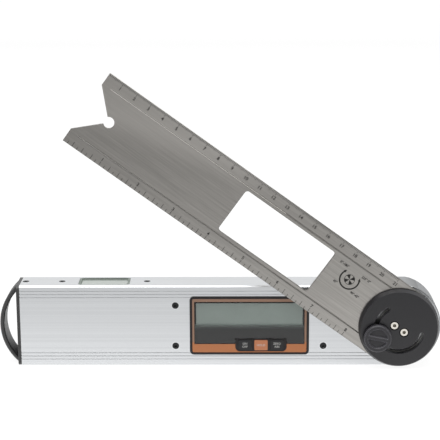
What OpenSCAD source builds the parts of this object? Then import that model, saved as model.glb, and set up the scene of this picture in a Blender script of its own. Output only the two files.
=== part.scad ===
// Digital angle gauge: a steel rule hinged on an extruded aluminium body with a display and a spirit vial.
// Millimetres. X runs along the body, Y from the front to the back, Z up.
// The origin lies on the base face, under the pivot axis, at half the body's depth.

/* [Body] */
// Length of the extrusion from the pivot axis to its capped end
arm_l = 228; // [222:1:260]
// Height of the extrusion
body_h = 50; // [47:0.5:56]
// Depth of the extrusion from front to back
body_d = 21; // [20.5:0.5:26]
// Thickness of the front and back walls
face_wall = 2.4; // [2:0.1:2.6]
// Thickness of the top and base walls
edge_wall = 2.4; // [2:0.1:2.8]
// Bevel along the four long corners
body_bevel = 0.8; // [0.4:0.1:1.2]
// How far the round end stands out past half the height
nose_lead = 0.6; // [0.3:0.1:1.5]
// Distance from the top face to the nearest groove
groove_top = 3; // [2:0.1:3.6]
// Distance from the base face to the nearest groove
groove_base = 4.2; // [2.5:0.1:4.6]
// Distance between grooves
groove_pitch = 2; // [1.6:0.1:2.4]
// Number of grooves along each long corner
groove_count = 3; // [1:1:3]
// Width of a groove
groove_w = 0.9; // [0.5:0.1:1.2]
// Depth of a groove
groove_depth = 0.4; // [0.2:0.1:0.9]
// Length of the nose plug's legs
plug_leg = 16; // [10:1:24]
// Thickness of the nose plug's legs
plug_leg_t = 2.8; // [2.4:0.1:3.4]

/* [End cap] */
// Thickness of the plate on the end of the body
cap_plate = 2; // [1.5:0.1:4]
// Bevel on the plate's long edges
cap_bevel = 1.4; // [0.6:0.1:2]
// Depth of the spigot in the hollow of the body
spigot_l = 10; // [8:0.5:16]
// Wall of the spigot
spigot_wall = 2; // [1.5:0.1:3]
// Reach of the hanging loop from the plate
loop_reach = 10.9; // [8.5:0.1:16]
// Thickness of the loop's band
loop_band = 2.6; // [2:0.1:3.4]
// Depth of the loop from front to back
loop_d = 13.5; // [10:0.5:18]
// Bevel on the loop's edges
loop_bevel = 0.7; // [0.2:0.1:0.9]
// Distance from the loop's foot to the long corner of the body
loop_corner = 0.6; // [0.2:0.1:3]
// Distance from the end of the body to the cap's screw
cap_screw_in = 2.8; // [2.5:0.1:6]

/* [Vial] */
// Distance from the pivot axis to the middle of the vial, as a share of the body's length
vial_share = 0.778; // [0.765:0.001:0.8]
// Length of the vial window
vial_l = 30.8; // [24:0.2:34]
// Depth of the vial window from front to back
vial_d = 15; // [11:0.5:15.2]
// Corner radius of the vial window
vial_round = 2; // [1:0.5:5.5]
// Height of the vial block under the top wall
vial_drop = 11.6; // [10.5:0.2:16]
// Length of the shoulder at each end of the block
vial_shoulder = 2.6; // [1:0.2:5]
// How far the block lies below the top face
vial_sunk = 0.9; // [0.1:0.1:1.2]
// Radius of the liquid's bore
vial_bore_r = 4.2; // [3:0.1:4.6]
// Wall at the closed end of the bore
vial_end_wall = 3; // [2:0.2:4]
// Length of the plug in the open end of the bore
vial_plug_l = 3; // [2:0.2:4]
// Wall over the bore, under the top wall's inner face
vial_roof = 1.2; // [0.8:0.1:1.6]
// Length of the bubble
bubble_l = 9; // [6:0.5:12]
// Depth of the bubble
bubble_depth = 1.8; // [1:0.1:2.4]
// Distance between the vial's screws
vial_screw_span = 51.6; // [48:0.2:58]
// Floor of the holder under the block
holder_floor = 2; // [1.5:0.1:4]
// Length of the holder past each screw
holder_end = 4; // [3.6:0.2:8]

/* [Display] */
// Distance from the pivot axis to the middle of the display, as a share of the body's length
display_share = 0.393; // [0.385:0.001:0.42]
// Width of the display frame
frame_w = 71.8; // [68:0.2:80]
// Height of the display frame
frame_h = 36.4; // [34:0.2:38]
// Corner radius of the display frame
frame_round = 2.4; // [0.6:0.1:3]
// How far the frame stands out of the front face
frame_proud = 0.3; // [0.1:0.1:0.5]
// Width of the frame's black rim
rim_w = 1.3; // [0.8:0.1:2]
// Width of the fascia at the sides
fascia_side = 1.45; // [1:0.05:3]
// Width of the fascia at the top
fascia_top = 2; // [1:0.1:3]
// Width of the fascia at the base
fascia_base = 5.4; // [4.6:0.1:6]
// Thickness of the fascia
fascia_t = 0.5; // [0.3:0.1:0.8]
// Thickness of the lens
lens_t = 1.2; // [0.9:0.1:1.4]
// How far the lens and the fascia lie below the frame's face
inlay_sunk = 0.1; // [0.05:0.05:0.2]
// Width of the ledge that carries the lens
ledge_w = 1; // [0.6:0.1:1.6]
// Thickness of the ledge
ledge_t = 0.7; // [0.4:0.1:0.9]
// Overlap of the LCD glass behind the ledge
lcd_lap = 0.6; // [0.3:0.1:0.7]
// Thickness of the LCD glass
lcd_t = 2; // [1.4:0.1:2.4]
// Width of a contact strip
strip_w = 2; // [1.2:0.1:2.6]
// Thickness of the flange behind the front wall
flange_t = 2; // [1.6:0.1:3]
// Overlap of the flange behind the front wall
flange_lap = 1.7; // [1:0.1:1.9]
// Distance from the frame's end to its screws
screw_out = 8.7; // [6:0.1:10]
// Height of the frame's screws above and below the pivot axis
screw_dz = 12.7; // [8:0.1:14]
// Radius of the bosses for the frame's screws
boss_r = 2.8; // [2:0.1:3.5]
// Length of the bosses behind the flange
boss_l = 2.6; // [2.4:0.1:4]
// Thickness of the circuit boards
board_t = 1.2; // [0.8:0.1:1.6]
// Gap between the flange and the circuit board
board_gap = 1; // [0.6:0.1:2]
// Distance from the board's edge to its screws
board_screw_in = 3; // [2.4:0.1:4]
// Margin of the board inside the flange's height
board_inset = 0.6; // [0.2:0.1:1]
// Width of the circuit board
board_w = 68; // [66:0.5:72]

/* [Buttons] */
// Width of a button
button_w = 8; // [6:0.1:8.4]
// Height of a button
button_h = 6.4; // [5:0.1:7]
// Distance between buttons
button_pitch = 9.7; // [9.4:0.1:11]
// Distance of the middle button to the right of the display's middle
button_x = 7; // [-12:0.2:12]
// Height of the buttons above the frame's base edge
button_base = 2.8; // [2.6:0.1:3.4]
// How far a button stands out of the frame
button_proud = 0.4; // [0.2:0.1:0.6]
// Stroke of a button
button_stroke = 0.5; // [0.3:0.1:0.6]
// Gap around a button
button_gap = 0.15; // [0.1:0.05:0.25]
// Border of the black panel around the buttons
panel_border = 0.7; // [0.4:0.1:1]
// Corner radius of the panel's lower corners
panel_round = 2.6; // [1:0.1:3]
// Width of the lip that keeps a button in
lip_w = 0.5; // [0.3:0.05:0.6]
// Thickness of the lip
lip_t = 0.8; // [0.5:0.1:1]
// Radius of a button's stem
stem_r = 1.2; // [0.8:0.1:2]
// Radius of a dome switch
dome_r = 2.2; // [1.5:0.1:2.8]
// Height of a dome switch
dome_t = 0.5; // [0.3:0.1:0.6]

/* [Battery] */
// Distance of the battery to the left of the display's middle
battery_out = 0.4; // [-10:0.2:20]
// Radius of the coin cell
cell_r = 10; // [8:0.1:10.5]
// Thickness of the coin cell
cell_t = 3.2; // [1.6:0.1:3.4]
// Width of the battery cover
cover_w = 34; // [33:0.5:40]
// Height of the battery cover
cover_h = 27; // [25:0.5:32]
// Corner radius of the battery cover
cover_round = 2; // [1:0.5:4]
// Distance from the cover's end to its screw
cover_screw_in = 3.1; // [2.6:0.1:3.6]
// Length of the cover's tongue under the wall
tongue_l = 1.4; // [0.8:0.1:2]
// Width of the cover's tongue
tongue_w = 8; // [5:0.5:12]
// Thickness of the cover's tongue
tongue_t = 1; // [0.8:0.1:1.4]
// Margin of the tray around the cover
tray_margin = 3; // [2.4:0.1:4]
// Thickness of the tray's floor
tray_floor = 1.6; // [1:0.1:2]
// Thickness of the battery contacts
contact_t = 0.3; // [0.2:0.05:0.4]
// Width of the battery contacts
contact_w = 4; // [2:0.5:6]

/* [Pivot] */
// Radius of the pivot shaft
shaft_r = 6; // [5.8:0.1:6.4]
// Wall of the pivot bush
bush_wall = 2; // [1.2:0.1:2.4]
// Thickness of the bush's flange
bush_flange_t = 1.5; // [1:0.1:2]
// Width of the bush's flange
bush_flange_w = 1.4; // [0.8:0.1:1.6]
// Thickness of the friction washer
friction_t = 0.6; // [0.6:0.1:1]
// Thickness of the shaft's flange
shaft_flange_t = 0.8; // [0.6:0.1:1.2]
// Gap between the shaft's flange and the lock's spacer
flange_gap = 0.6; // [0.3:0.1:2]
// Thickness of the thrust washer
thrust_t = 0.5; // [0.3:0.1:0.8]
// Free height of the disc spring
spring_h = 1.2; // [0.8:0.1:1.4]
// Thickness of the disc spring
spring_t = 0.4; // [0.3:0.1:0.6]
// Outer radius of the encoder, as a share of the body's height
encoder_share = 0.388; // [0.37:0.002:0.392]
// Gap between the encoder and the nose plug
chamber_gap = 0.6; // [0.3:0.1:0.8]
// Gap between the encoder's base and the head of the lock's stud
base_gap = 0.5; // [0.3:0.1:1]
// How far the rotor's edge lies inside the stator's edge
rotor_inset = 1; // [0.5:0.1:2]
// Gap between the encoder's rotor and stator
encoder_gap = 0.7; // [0.4:0.1:1]
// Length of the stator's tab past its edge
stator_tab = 6; // [5:0.5:10]
// Thickness of the retaining clip
clip_t = 0.8; // [0.5:0.1:1]
// Width of the retaining clip
clip_w = 2; // [1.4:0.1:2.4]
// Depth of the clip's groove
clip_groove = 0.6; // [0.3:0.1:0.9]
// Length of the shaft behind the clip
shaft_end = 0.8; // [0.4:0.1:2]
// Width of the ribbon cable
ribbon_w = 8; // [5:0.5:12]
// Thickness of the ribbon cable
ribbon_t = 0.2; // [0.1:0.05:0.3]
// Overlap of the ribbon on each board
ribbon_lap = 2; // [1:0.5:3]

/* [Blade] */
// Angle of the blade from closed
open_angle = 36; // [0:1:90]
// Length of the blade from the pivot axis to its tip
blade_l = 228; // [200:1:260]
// Thickness of the blade
blade_t = 1.8; // [1.2:0.1:2.5]
// Distance from the blade's edge to the body's edge, when closed
blade_inset = 0.75; // [0.3:0.05:2]
// Width of the prongs beside the notch
prong_w = 8.4; // [6:0.1:12]
// Radius of the relief in the notch
relief_r = 3.35; // [2:0.05:5]
// Distance from the pivot axis to the window
window_start = 58; // [50:0.5:62]
// Length of the window
window_l = 65.4; // [60:0.2:72]
// Height of the window
window_h = 29.4; // [26:0.2:31]
// Corner radius of the window
window_round = 2; // [1:0.5:4]
// Distance from the blade's edges to the engraved lines
line_in = 7.4; // [6:0.1:8]
// Width of an engraved line
line_w = 0.8; // [0.6:0.1:1.4]
// Depth of an engraved line
line_depth = 0.3; // [0.15:0.05:0.6]
// Distance from the tip to the engraved lines
line_end = 6; // [3:0.5:12]
// How far the blade's tail lies inside its half width
tail_inset = 0.65; // [0.3:0.05:2]

/* [Pivot disc] */
// Distance from the disc's edge to the body's edge
disc_inset = 0.8; // [0.4:0.1:2]
// Thickness of the disc
disc_t = 4.2; // [3.6:0.1:6]
// Height of the disc's straight rim
disc_rim = 1.4; // [0.8:0.1:2]
// Width of the disc's bevel
disc_bevel = 1.3; // [0.8:0.1:2.9]
// Distance from the pivot axis to each pivot screw
pivot_screw_off = 3.6; // [3:0.05:3.6]
// Depth of the screws' heads below the disc's face
head_sunk = 0.3; // [0.1:0.1:0.6]

/* [Lock] */
// Distance from the pivot axis to the lock, as a share of the body's height
lock_share = 0.28; // [0.276:0.002:0.292]
// Angle of the lock below the body's axis
lock_angle = 21; // [10:1:30]
// Width of the arc slot
slot_w = 2.9; // [2.8:0.1:3.6]
// Swing of the blade below closed
swing_down = 45; // [20:1:60]
// Swing of the blade above closed
swing_up = 180; // [120:1:190]
// Radius of the lock's stud
stud_r = 1.25; // [0.8:0.05:1.25]
// Radius of the stud's head
stud_head_r = 2.3; // [1.8:0.1:2.4]
// Thickness of the stud's head
stud_head_t = 1.1; // [0.8:0.1:1.6]
// Radius of the lock's spacer and washer
spacer_r = 3.8; // [3:0.1:4]
// Thickness of the lock's washer
lock_washer_t = 0.6; // [0.4:0.1:1]
// Radius of the lock knob
knob_r = 8.4; // [7.5:0.1:9]
// Height of the lock knob
knob_t = 3.2; // [2.8:0.1:6]
// Bevel on the knob's rim
knob_bevel = 0.6; // [0.3:0.1:1]
// Radius of the knob's finger recesses
recess_r = 5.5; // [4.5:0.1:7]
// Depth of the finger recesses
recess_depth = 1.4; // [0.8:0.1:1.6]
// Bevel on the edges of the recesses
recess_edge = 0.5; // [0.2:0.1:0.6]
// Width of the ridge between the recesses
ridge_w = 2.8; // [2:0.1:4]
// Turn of the ridge from the body's axis
ridge_turn = 12; // [-90:1:90]
// Depth of the stud in the knob
stud_grip = 1.4; // [0.8:0.1:1.4]

/* [Screws and clearances] */
// Head radius of the countersunk screws
flat_head_r = 2; // [1.6:0.1:2.2]
// Shank radius of the countersunk screws
flat_shank_r = 1; // [0.7:0.05:1.1]
// Length of the countersunk screws
flat_l = 5.6; // [5:0.2:6]
// Head radius of the small round-headed screws
round_head_r = 1.6; // [1.2:0.1:1.8]
// Head height of the small round-headed screws
round_head_t = 1; // [0.6:0.1:1.2]
// Shank radius of the small round-headed screws
round_shank_r = 0.75; // [0.5:0.05:0.8]
// Grip of the small round-headed screws past the board
round_grip = 2; // [1.4:0.1:2.2]
// Head radius of the pivot screws
pivot_head_r = 2.25; // [1.8:0.05:2.3]
// Head height of the pivot screws
pivot_head_t = 1.6; // [1.2:0.1:2]
// Shank radius of the pivot screws
pivot_shank_r = 0.95; // [0.7:0.05:1]
// Grip of the pivot screws in the shaft
pivot_grip = 4; // [2.5:0.1:5]
// Clearance round a seated piece
fit = 0.1; // [0.05:0.05:0.2]
// Running clearance of turning pieces
run = 0.05; // [0.02:0.01:0.08]

/* [Hidden] */
// Overrun of a cut past the face that it opens
over = 1;
round_fn = 96;
small_fn = 48;
arc_steps = 6;
hex_fn = 6;

// Body
y_front = -body_d / 2;
y_back = body_d / 2;
y_hollow = y_front + face_wall;
hollow_d = body_d - 2 * face_wall;
hollow_h = body_h - 2 * edge_wall;
pivot_z = body_h / 2;
nose_r = body_h / 2 + nose_lead;
lock_r = lock_share * body_h;
encoder_r = encoder_share * body_h;
chamber_r = encoder_r + chamber_gap;

// End cap
loop_half = body_h / 2 - loop_corner;
loop_r = (loop_half * loop_half + loop_reach * loop_reach) / (2 * loop_reach);
cap_x = -arm_l - cap_plate;

// Vial
vial_x = vial_share * arm_l;
vial_top = body_h - vial_sunk;
vial_base = body_h - edge_wall - vial_drop;
vial_block_l = vial_l + 2 * vial_shoulder;
vial_axis_z = body_h - edge_wall - vial_bore_r - vial_roof;
liquid_l = vial_block_l - vial_end_wall - vial_plug_l - 2 * run;
liquid_mid = (vial_end_wall - vial_plug_l) / 2;
holder_l = vial_screw_span + 2 * holder_end;
top_screw_x = [cap_screw_in - arm_l, -vial_x - vial_screw_span / 2, -vial_x + vial_screw_span / 2];
bubble_r = (bubble_l * bubble_l / 4 + bubble_depth * bubble_depth) / (2 * bubble_depth);

// Display, from the front to the back
display_x = display_share * arm_l;
y_frame = y_front - frame_proud;
y_inlay = y_frame + inlay_sunk;
y_ledge = y_inlay + lens_t;
y_lcd = y_ledge + ledge_t;
y_strips = y_lcd + lcd_t;
y_flange_back = y_hollow + flange_t;
y_board = y_flange_back + board_gap;
y_board_back = y_board + board_t;
rim_round_least = 0.3;
rim_round = max(frame_round - rim_w, rim_round_least);
lens_w = frame_w - 2 * rim_w - 2 * fascia_side;
lens_h = frame_h - 2 * rim_w - fascia_top - fascia_base;
lens_z = (fascia_base - fascia_top) / 2;
button_z = button_base + button_h / 2 - frame_h / 2;
panel_side = 1.7;
panel_w = 2 * button_pitch + button_w + 2 * panel_side;
panel_h = button_h + 2 * panel_border;
panel_top = button_z + panel_h / 2;
panel_tip_r = 0.4;
lcd_w = lens_w - 2 * ledge_w + 2 * lcd_lap;
view_top = lens_z + lens_h / 2 - ledge_w;
view_base = panel_top + ledge_w;
view_h = view_top - view_base;
view_z = (view_top + view_base) / 2;
view_w = lens_w - 2 * ledge_w;
lcd_h = view_h + 2 * lcd_lap;
flange_edge = 0.6;
flange_w = frame_w + 2 * (screw_out + boss_r + flange_edge);
flange_h = frame_h + 2 * flange_lap;
board_h = flange_h - 2 * board_inset;
board_dx = board_w / 2 - board_screw_in;
board_dz = board_h / 2 - round_head_r - board_inset;
button_corner = 2;
button_round = 0.6;
lip_front = y_flange_back - lip_t - button_stroke - fit;
stem_end = y_board - dome_t - button_stroke - fit;

// Battery
battery_x = display_x + battery_out;
cell_play = 0.3;
pocket_t = contact_t + cell_t + cell_play;
tray_t = pocket_t + tray_floor;
y_tray_back = y_back - face_wall;
y_pocket = y_tray_back - pocket_t;
tray_w = cover_w + 2 * tray_margin;
tray_h = cover_h + 2 * tray_margin;
cell_cap_step = 1.2;
cell_cap_r = cell_r - cell_cap_step;
cell_cap_t = 0.6;

// Pivot, from the front to the back
blade_gap = friction_t + shaft_flange_t;
y_friction = y_front - friction_t;
y_blade_back = y_front - blade_gap;
y_blade = y_blade_back - blade_t;
y_disc = y_blade - disc_t;
shaft_flange_r = lock_r - spacer_r - flange_gap;
shaft_boss_step = 0.5;
shaft_boss_r = shaft_r + shaft_boss_step;
bush_r = shaft_r + run + bush_wall;
y_bush_end = y_hollow + bush_flange_t;
y_thrust_end = y_bush_end + thrust_t;
y_hub = y_thrust_end + spring_h;
y_rotor = y_board_back + encoder_gap;
y_clip = y_rotor + board_t;
y_shaft_end = y_clip + clip_t + run + shaft_end;
base_r = lock_r + stud_head_r + base_gap;
hub_wall = 2.6;
hub_r = shaft_r + hub_wall;
stator_hole_gap = 0.9;
stator_hole_r = hub_r + stator_hole_gap;
ribbon_start = -display_x + board_w / 2 - ribbon_lap;
ribbon_stop = -encoder_r - stator_tab + ribbon_lap;

// Blade and disc
blade_w = body_h - 2 * blade_inset;
notch_half = blade_w / 2 - prong_w;
line_start = lock_r + slot_w;
disc_r = body_h / 2 - disc_inset;
disc_face_r = disc_r - disc_bevel;
socket_share = 0.6;
pivot_socket_t = socket_share * pivot_head_t;

// Lock
lock_x = -lock_r * cos(lock_angle);
lock_z = pivot_z - lock_r * sin(lock_angle);
slot_from = 180 + lock_angle - swing_down;
slot_to = 180 + lock_angle + swing_up;
slot_end_r = slot_w / 2 - run;
y_lock_washer = y_disc - fit - lock_washer_t;
y_knob = y_lock_washer - knob_t;

body_color = "#CDD1D4";
plug_color = "#A9ABAC";
black_color = "#333337";
cap_color = "#4A4A4A";
copper_color = "#BE7A4E";
steel_color = "#9C9994";
bright_color = "#E6E1D9";
brass_color = "#B89A58";
board_color = "#2E6B45";
white_color = "#E8E8E4";
vial_color = "#DDE2DC";
liquid_color = "#D5E2B8";
bubble_color = "#F6F8F2";
lens_color = "#8E9A92";
lcd_color = "#828E86";
strip_color = "#D8B0A8";
ribbon_color = "#C88A30";
clear = 0.5;

// Points along an arc
function arc_points(x, y, r, from, to) =
    [for (i = [0:arc_steps]) let (a = from + (to - from) * i / arc_steps) [x + r * cos(a), y + r * sin(a)]];

// Outline of a box about its middle, with radii for the lower left, lower right and both upper corners
function corner_box(w, h, left_r, right_r, top_r) = concat(
    arc_points(left_r - w / 2, left_r - h / 2, left_r, 180, 270),
    arc_points(w / 2 - right_r, right_r - h / 2, right_r, 270, 360),
    arc_points(w / 2 - top_r, h / 2 - top_r, top_r, 0, 90),
    arc_points(top_r - w / 2, h / 2 - top_r, top_r, 90, 180));

// Outline of a box with four equal round corners
function soft_box(w, h, r) = corner_box(w, h, r, r, r);

// Corners of a rectangle about its middle
function corners(dx, dz) = [for (sx = [-1, 1], sz = [-1, 1]) [sx * dx, sz * dz]];

// An outline drawn in X and Z, made t thick from the front plane y to the back
module plate(y, t) {
    translate([0, y + t, 0]) rotate([90, 0, 0]) linear_extrude(t) children();
}

// A round bar along Y that starts at the front plane y
module bar(y, t, r) {
    translate([0, y + t, 0]) rotate([90, 0, 0]) cylinder(h = t, r = r, $fn = round_fn);
}

// A washer along Y that starts at the front plane y
module washer(y, t, inner_r, outer_r) {
    difference() {
        bar(y, t, outer_r);
        bar(y - over, t + 2 * over, inner_r);
    }
}

// Places children at the pivot axis
module on_pivot() {
    translate([0, 0, pivot_z]) children();
}

// Places children at the pivot axis, turned with the blade
module on_blade() {
    on_pivot() rotate([0, open_angle, 0]) children();
}

// Places children at the middle of the display
module on_display() {
    translate([-display_x, 0, pivot_z]) children();
}

// Places children at the middle of the battery
module on_battery() {
    translate([-battery_x, 0, pivot_z]) children();
}

// Places children at the lock's axis
module on_lock() {
    translate([lock_x, 0, lock_z]) children();
}

// A countersunk screw with its head's face at the origin and its shank down along Z
module flat_screw() {
    difference() {
        rotate_extrude($fn = small_fn)
            polygon([[0, 0], [flat_head_r, 0], [flat_shank_r, flat_shank_r - flat_head_r],
                     [flat_shank_r, -flat_l], [0, -flat_l]]);
        cylinder(h = flat_head_r, r = flat_head_r / 2, center = true, $fn = hex_fn);
    }
}

// The hole for a countersunk screw
module flat_hole() {
    hole_r = flat_shank_r + fit;
    mouth_r = flat_head_r + fit;
    rotate_extrude($fn = small_fn)
        polygon([[0, over], [mouth_r, over], [mouth_r, 0], [hole_r, hole_r - mouth_r],
                 [hole_r, -flat_l - fit], [0, -flat_l - fit]]);
}

// Cross-section of the extrusion, front to the left
module body_profile() {
    b = body_bevel;
    difference() {
        polygon([[y_front + b, 0], [y_back - b, 0], [y_back, b], [y_back, body_h - b], [y_back - b, body_h],
                 [y_front + b, body_h], [y_front, body_h - b], [y_front, b]]);
        translate([y_hollow, edge_wall]) square([hollow_d, hollow_h]);
        for (i = [0:groove_count - 1], z = [body_h - groove_top - i * groove_pitch,
                                            groove_base + i * groove_pitch])
            translate([y_front, z]) square([2 * groove_depth, groove_w], center = true);
    }
}

// What is milled away from the end of the extrusion
module nose_cut() {
    on_pivot() plate(y_front - over, body_d + 2 * over)
        difference() {
            translate([0, -body_h]) square([2 * nose_r, 2 * body_h]);
            circle(nose_r, $fn = round_fn);
        }
}

module place_top_screws() {
    for (x = top_screw_x) translate([x, 0, body_h]) children();
}

module place_display_screws() {
    for (p = corners(frame_w / 2 + screw_out, screw_dz))
        on_display() translate([p[0], y_front, p[1]]) rotate([90, 0, 0]) children();
}

module place_board_screws() {
    for (p = corners(board_dx, board_dz)) on_display() translate([p[0], 0, p[1]]) children();
}

module place_cover_screw() {
    on_battery() translate([cover_w / 2 - cover_screw_in, y_back - fit, 0]) rotate([-90, 0, 0]) children();
}

module place_pivot_screws() {
    for (side = [-1, 1]) on_blade() translate([side * pivot_screw_off, 0, 0]) children();
}

module body_extrusion() {
    color(body_color) difference() {
        translate([-arm_l, 0, 0]) rotate([90, 0, 90]) linear_extrude(arm_l + nose_r) body_profile();
        nose_cut();
        on_display() plate(y_front - over, face_wall + 2 * over)
            polygon(soft_box(frame_w + 2 * fit, frame_h + 2 * fit, frame_round + fit));
        place_display_screws() flat_hole();
        place_top_screws() flat_hole();
        translate([-vial_x, 0, body_h - edge_wall - over]) linear_extrude(edge_wall + 2 * over)
            polygon(soft_box(vial_l + 2 * fit, vial_d + 2 * fit, vial_round + fit));
        on_battery() plate(y_tray_back - over, face_wall + 2 * over)
            polygon(soft_box(cover_w + 2 * fit, cover_h + 2 * fit, cover_round + fit));
        on_pivot() bar(y_front - over, face_wall + 2 * over, bush_r + run);
        on_lock() bar(y_front - over, face_wall + 2 * over, stud_r + run);
    }
}

module nose_plug() {
    plug_h = hollow_h - 2 * fit;
    gap_h = plug_h - 2 * plug_leg_t;
    color(plug_color) on_pivot() plate(y_hollow, hollow_d - fit)
        difference() {
            intersection() {
                union() {
                    circle(nose_r, $fn = round_fn);
                    translate([-plug_leg, -nose_r]) square([plug_leg, 2 * nose_r]);
                }
                translate([-plug_leg, -plug_h / 2]) square([plug_leg + 2 * nose_r, plug_h]);
            }
            circle(chamber_r, $fn = round_fn);
            translate([-plug_leg - over, -gap_h / 2]) square([plug_leg + over, gap_h]);
        }
}

// The loop's band as a full ring about the pivot's height, with bevelled edges
module loop_ring() {
    inner_r = loop_r - loop_band;
    d = loop_d / 2;
    b = loop_bevel;
    rotate([90, 0, 0]) rotate_extrude($fn = round_fn)
        polygon([[inner_r, b - d], [inner_r + b, -d], [loop_r - b, -d], [loop_r, b - d],
                 [loop_r, d - b], [loop_r - b, d], [inner_r + b, d], [inner_r, d - b]]);
}

module end_cap() {
    b = cap_bevel;
    spigot_d = hollow_d - 2 * fit;
    spigot_h = hollow_h - 2 * fit;
    color(cap_color) difference() {
        union() {
            translate([cap_x, 0, 0]) rotate([90, 0, 90]) linear_extrude(cap_plate)
                polygon([[y_front + b, 0], [y_back - b, 0], [y_back, b], [y_back, body_h - b],
                         [y_back - b, body_h], [y_front + b, body_h], [y_front, body_h - b], [y_front, b]]);
            translate([cap_x + cap_plate / 2, -spigot_d / 2, pivot_z - spigot_h / 2])
                cube([spigot_l + cap_plate / 2, spigot_d, spigot_h]);
            intersection() {
                translate([cap_x - loop_reach + loop_r, 0, pivot_z]) loop_ring();
                translate([cap_x - 2 * loop_reach, -body_d, 0])
                    cube([2 * loop_reach + cap_plate / 2, 2 * body_d, body_h]);
            }
        }
        translate([-arm_l, spigot_wall - spigot_d / 2, pivot_z - spigot_h / 2 + spigot_wall])
            cube([spigot_l + over, spigot_d - 2 * spigot_wall, spigot_h - 2 * spigot_wall]);
        place_top_screws() flat_hole();
    }
}

module top_screws() {
    color(black_color) place_top_screws() flat_screw();
}

// A barrel along X
module barrel(l, r) {
    rotate([0, 90, 0]) cylinder(h = l, r = r, center = true, $fn = small_fn);
}

module on_vial_axis() {
    translate([-vial_x, 0, vial_axis_z]) children();
}

// The ball that shapes the underside of the bubble
module bubble_ball(r) {
    on_vial_axis() translate([0, 0, vial_bore_r - bubble_depth + bubble_r]) sphere(r, $fn = small_fn);
}

// The space that the liquid and the bubble fill
module vial_filling() {
    on_vial_axis() translate([liquid_mid, 0, 0]) barrel(liquid_l, vial_bore_r - run);
}

module vial_holder() {
    holder_d = hollow_d - 2 * fit;
    pocket_l = vial_block_l + 2 * fit;
    holder_h = vial_drop + holder_floor;
    color(white_color) difference() {
        translate([-vial_x - holder_l / 2, -holder_d / 2, body_h - edge_wall - holder_h])
            cube([holder_l, holder_d, holder_h]);
        translate([-vial_x - pocket_l / 2, -body_d / 2, vial_base])
            cube([pocket_l, body_d, vial_drop + over]);
        place_top_screws() flat_hole();
    }
}

module vial_block() {
    color(vial_color, clear) difference() {
        union() {
            translate([-vial_x, 0, vial_base]) linear_extrude(vial_top - vial_base)
                polygon(soft_box(vial_l, vial_d, vial_round));
            translate([-vial_x - vial_block_l / 2, -vial_d / 2, vial_base])
                cube([vial_block_l, vial_d, vial_drop]);
        }
        on_vial_axis() translate([(vial_end_wall + over) / 2, 0, 0])
            barrel(vial_block_l - vial_end_wall + over, vial_bore_r);
    }
}

module vial_liquid() {
    color(liquid_color) difference() {
        vial_filling();
        bubble_ball(bubble_r);
    }
}

module vial_bubble() {
    color(bubble_color) intersection() {
        vial_filling();
        bubble_ball(bubble_r - run);
    }
}

module vial_plug() {
    color(white_color) on_vial_axis() translate([(vial_block_l - vial_plug_l) / 2, 0, 0])
        barrel(vial_plug_l, vial_bore_r - run);
}

// Outline of the black panel that carries the buttons
module panel_outline(grow) {
    r = panel_round + grow;
    translate([button_x, button_z])
        polygon(corner_box(panel_w + 2 * grow, panel_h + 2 * grow, r, r, panel_tip_r + grow));
}

// Outline of the lens, cut out round the button panel
module lens_outline(grow) {
    difference() {
        translate([0, lens_z]) square([lens_w + 2 * grow, lens_h + 2 * grow], center = true);
        panel_outline(-grow);
    }
}

// Round the outer lower corner of the first and the last button
function button_points(i, grow) =
    corner_box(button_w + 2 * grow, button_h + 2 * grow, (i < 0 ? button_corner : button_round) + grow,
               (i > 0 ? button_corner : button_round) + grow, button_round + grow);

module on_button(i) {
    on_display() translate([button_x + i * button_pitch, 0, button_z]) children();
}

module display_frame() {
    lip_room = lip_w + fit;
    lip_run_w = 2 * button_pitch + button_w + 2 * lip_room;
    color(black_color) difference() {
        union() {
            on_display() plate(y_frame, y_flange_back - y_frame)
                polygon(soft_box(frame_w, frame_h, frame_round));
            on_display() plate(y_hollow, flange_t) square([flange_w, flange_h], center = true);
            place_display_screws() translate([0, 0, -face_wall - flange_t - boss_l])
                cylinder(h = boss_l + flange_t, r = boss_r, $fn = small_fn);
            place_board_screws() bar(y_flange_back - flange_t / 2, board_gap + flange_t / 2, round_head_r);
        }
        on_display() plate(y_frame - over, over + inlay_sunk + fascia_t) difference() {
            polygon(soft_box(frame_w - 2 * rim_w, frame_h - 2 * rim_w, rim_round));
            panel_outline(0);
        }
        on_display() plate(y_frame - over, over + y_ledge - y_frame) lens_outline(fit);
        on_display() plate(y_frame, body_d / 2)
            translate([0, view_z]) square([view_w, view_h], center = true);
        on_display() plate(y_lcd, body_d / 2)
            translate([0, view_z]) square([lcd_w + 2 * fit, lcd_h + 2 * fit], center = true);
        for (i = [-1:1]) on_button(i) plate(y_frame - over, body_d / 2) polygon(button_points(i, button_gap));
        on_button(0) plate(lip_front, body_d / 2)
            square([lip_run_w, button_h + 2 * button_gap], center = true);
        place_display_screws() flat_hole();
        place_board_screws() bar(y_board - round_grip - fit, round_grip + over, round_shank_r + run);
    }
}

module display_fascia() {
    color(copper_color) on_display() plate(y_inlay, fascia_t) difference() {
        polygon(soft_box(frame_w - 2 * rim_w - 2 * fit, frame_h - 2 * rim_w - 2 * fit, rim_round));
        translate([0, lens_z]) square([lens_w + 2 * fit, lens_h + 2 * fit], center = true);
        panel_outline(fit);
    }
}

module display_lens() {
    color(lens_color, clear) on_display() plate(y_inlay, lens_t) lens_outline(-fit);
}

module lcd_glass() {
    color(lcd_color) on_display() plate(y_lcd, lcd_t)
        translate([0, view_z]) square([lcd_w, lcd_h], center = true);
}

module contact_strips() {
    color(strip_color) for (side = [-1, 1])
        on_display() plate(y_strips, y_board - y_strips)
            translate([0, view_z + side * (lcd_h / 2 - strip_w / 2)]) square([lcd_w, strip_w], center = true);
}

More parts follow.
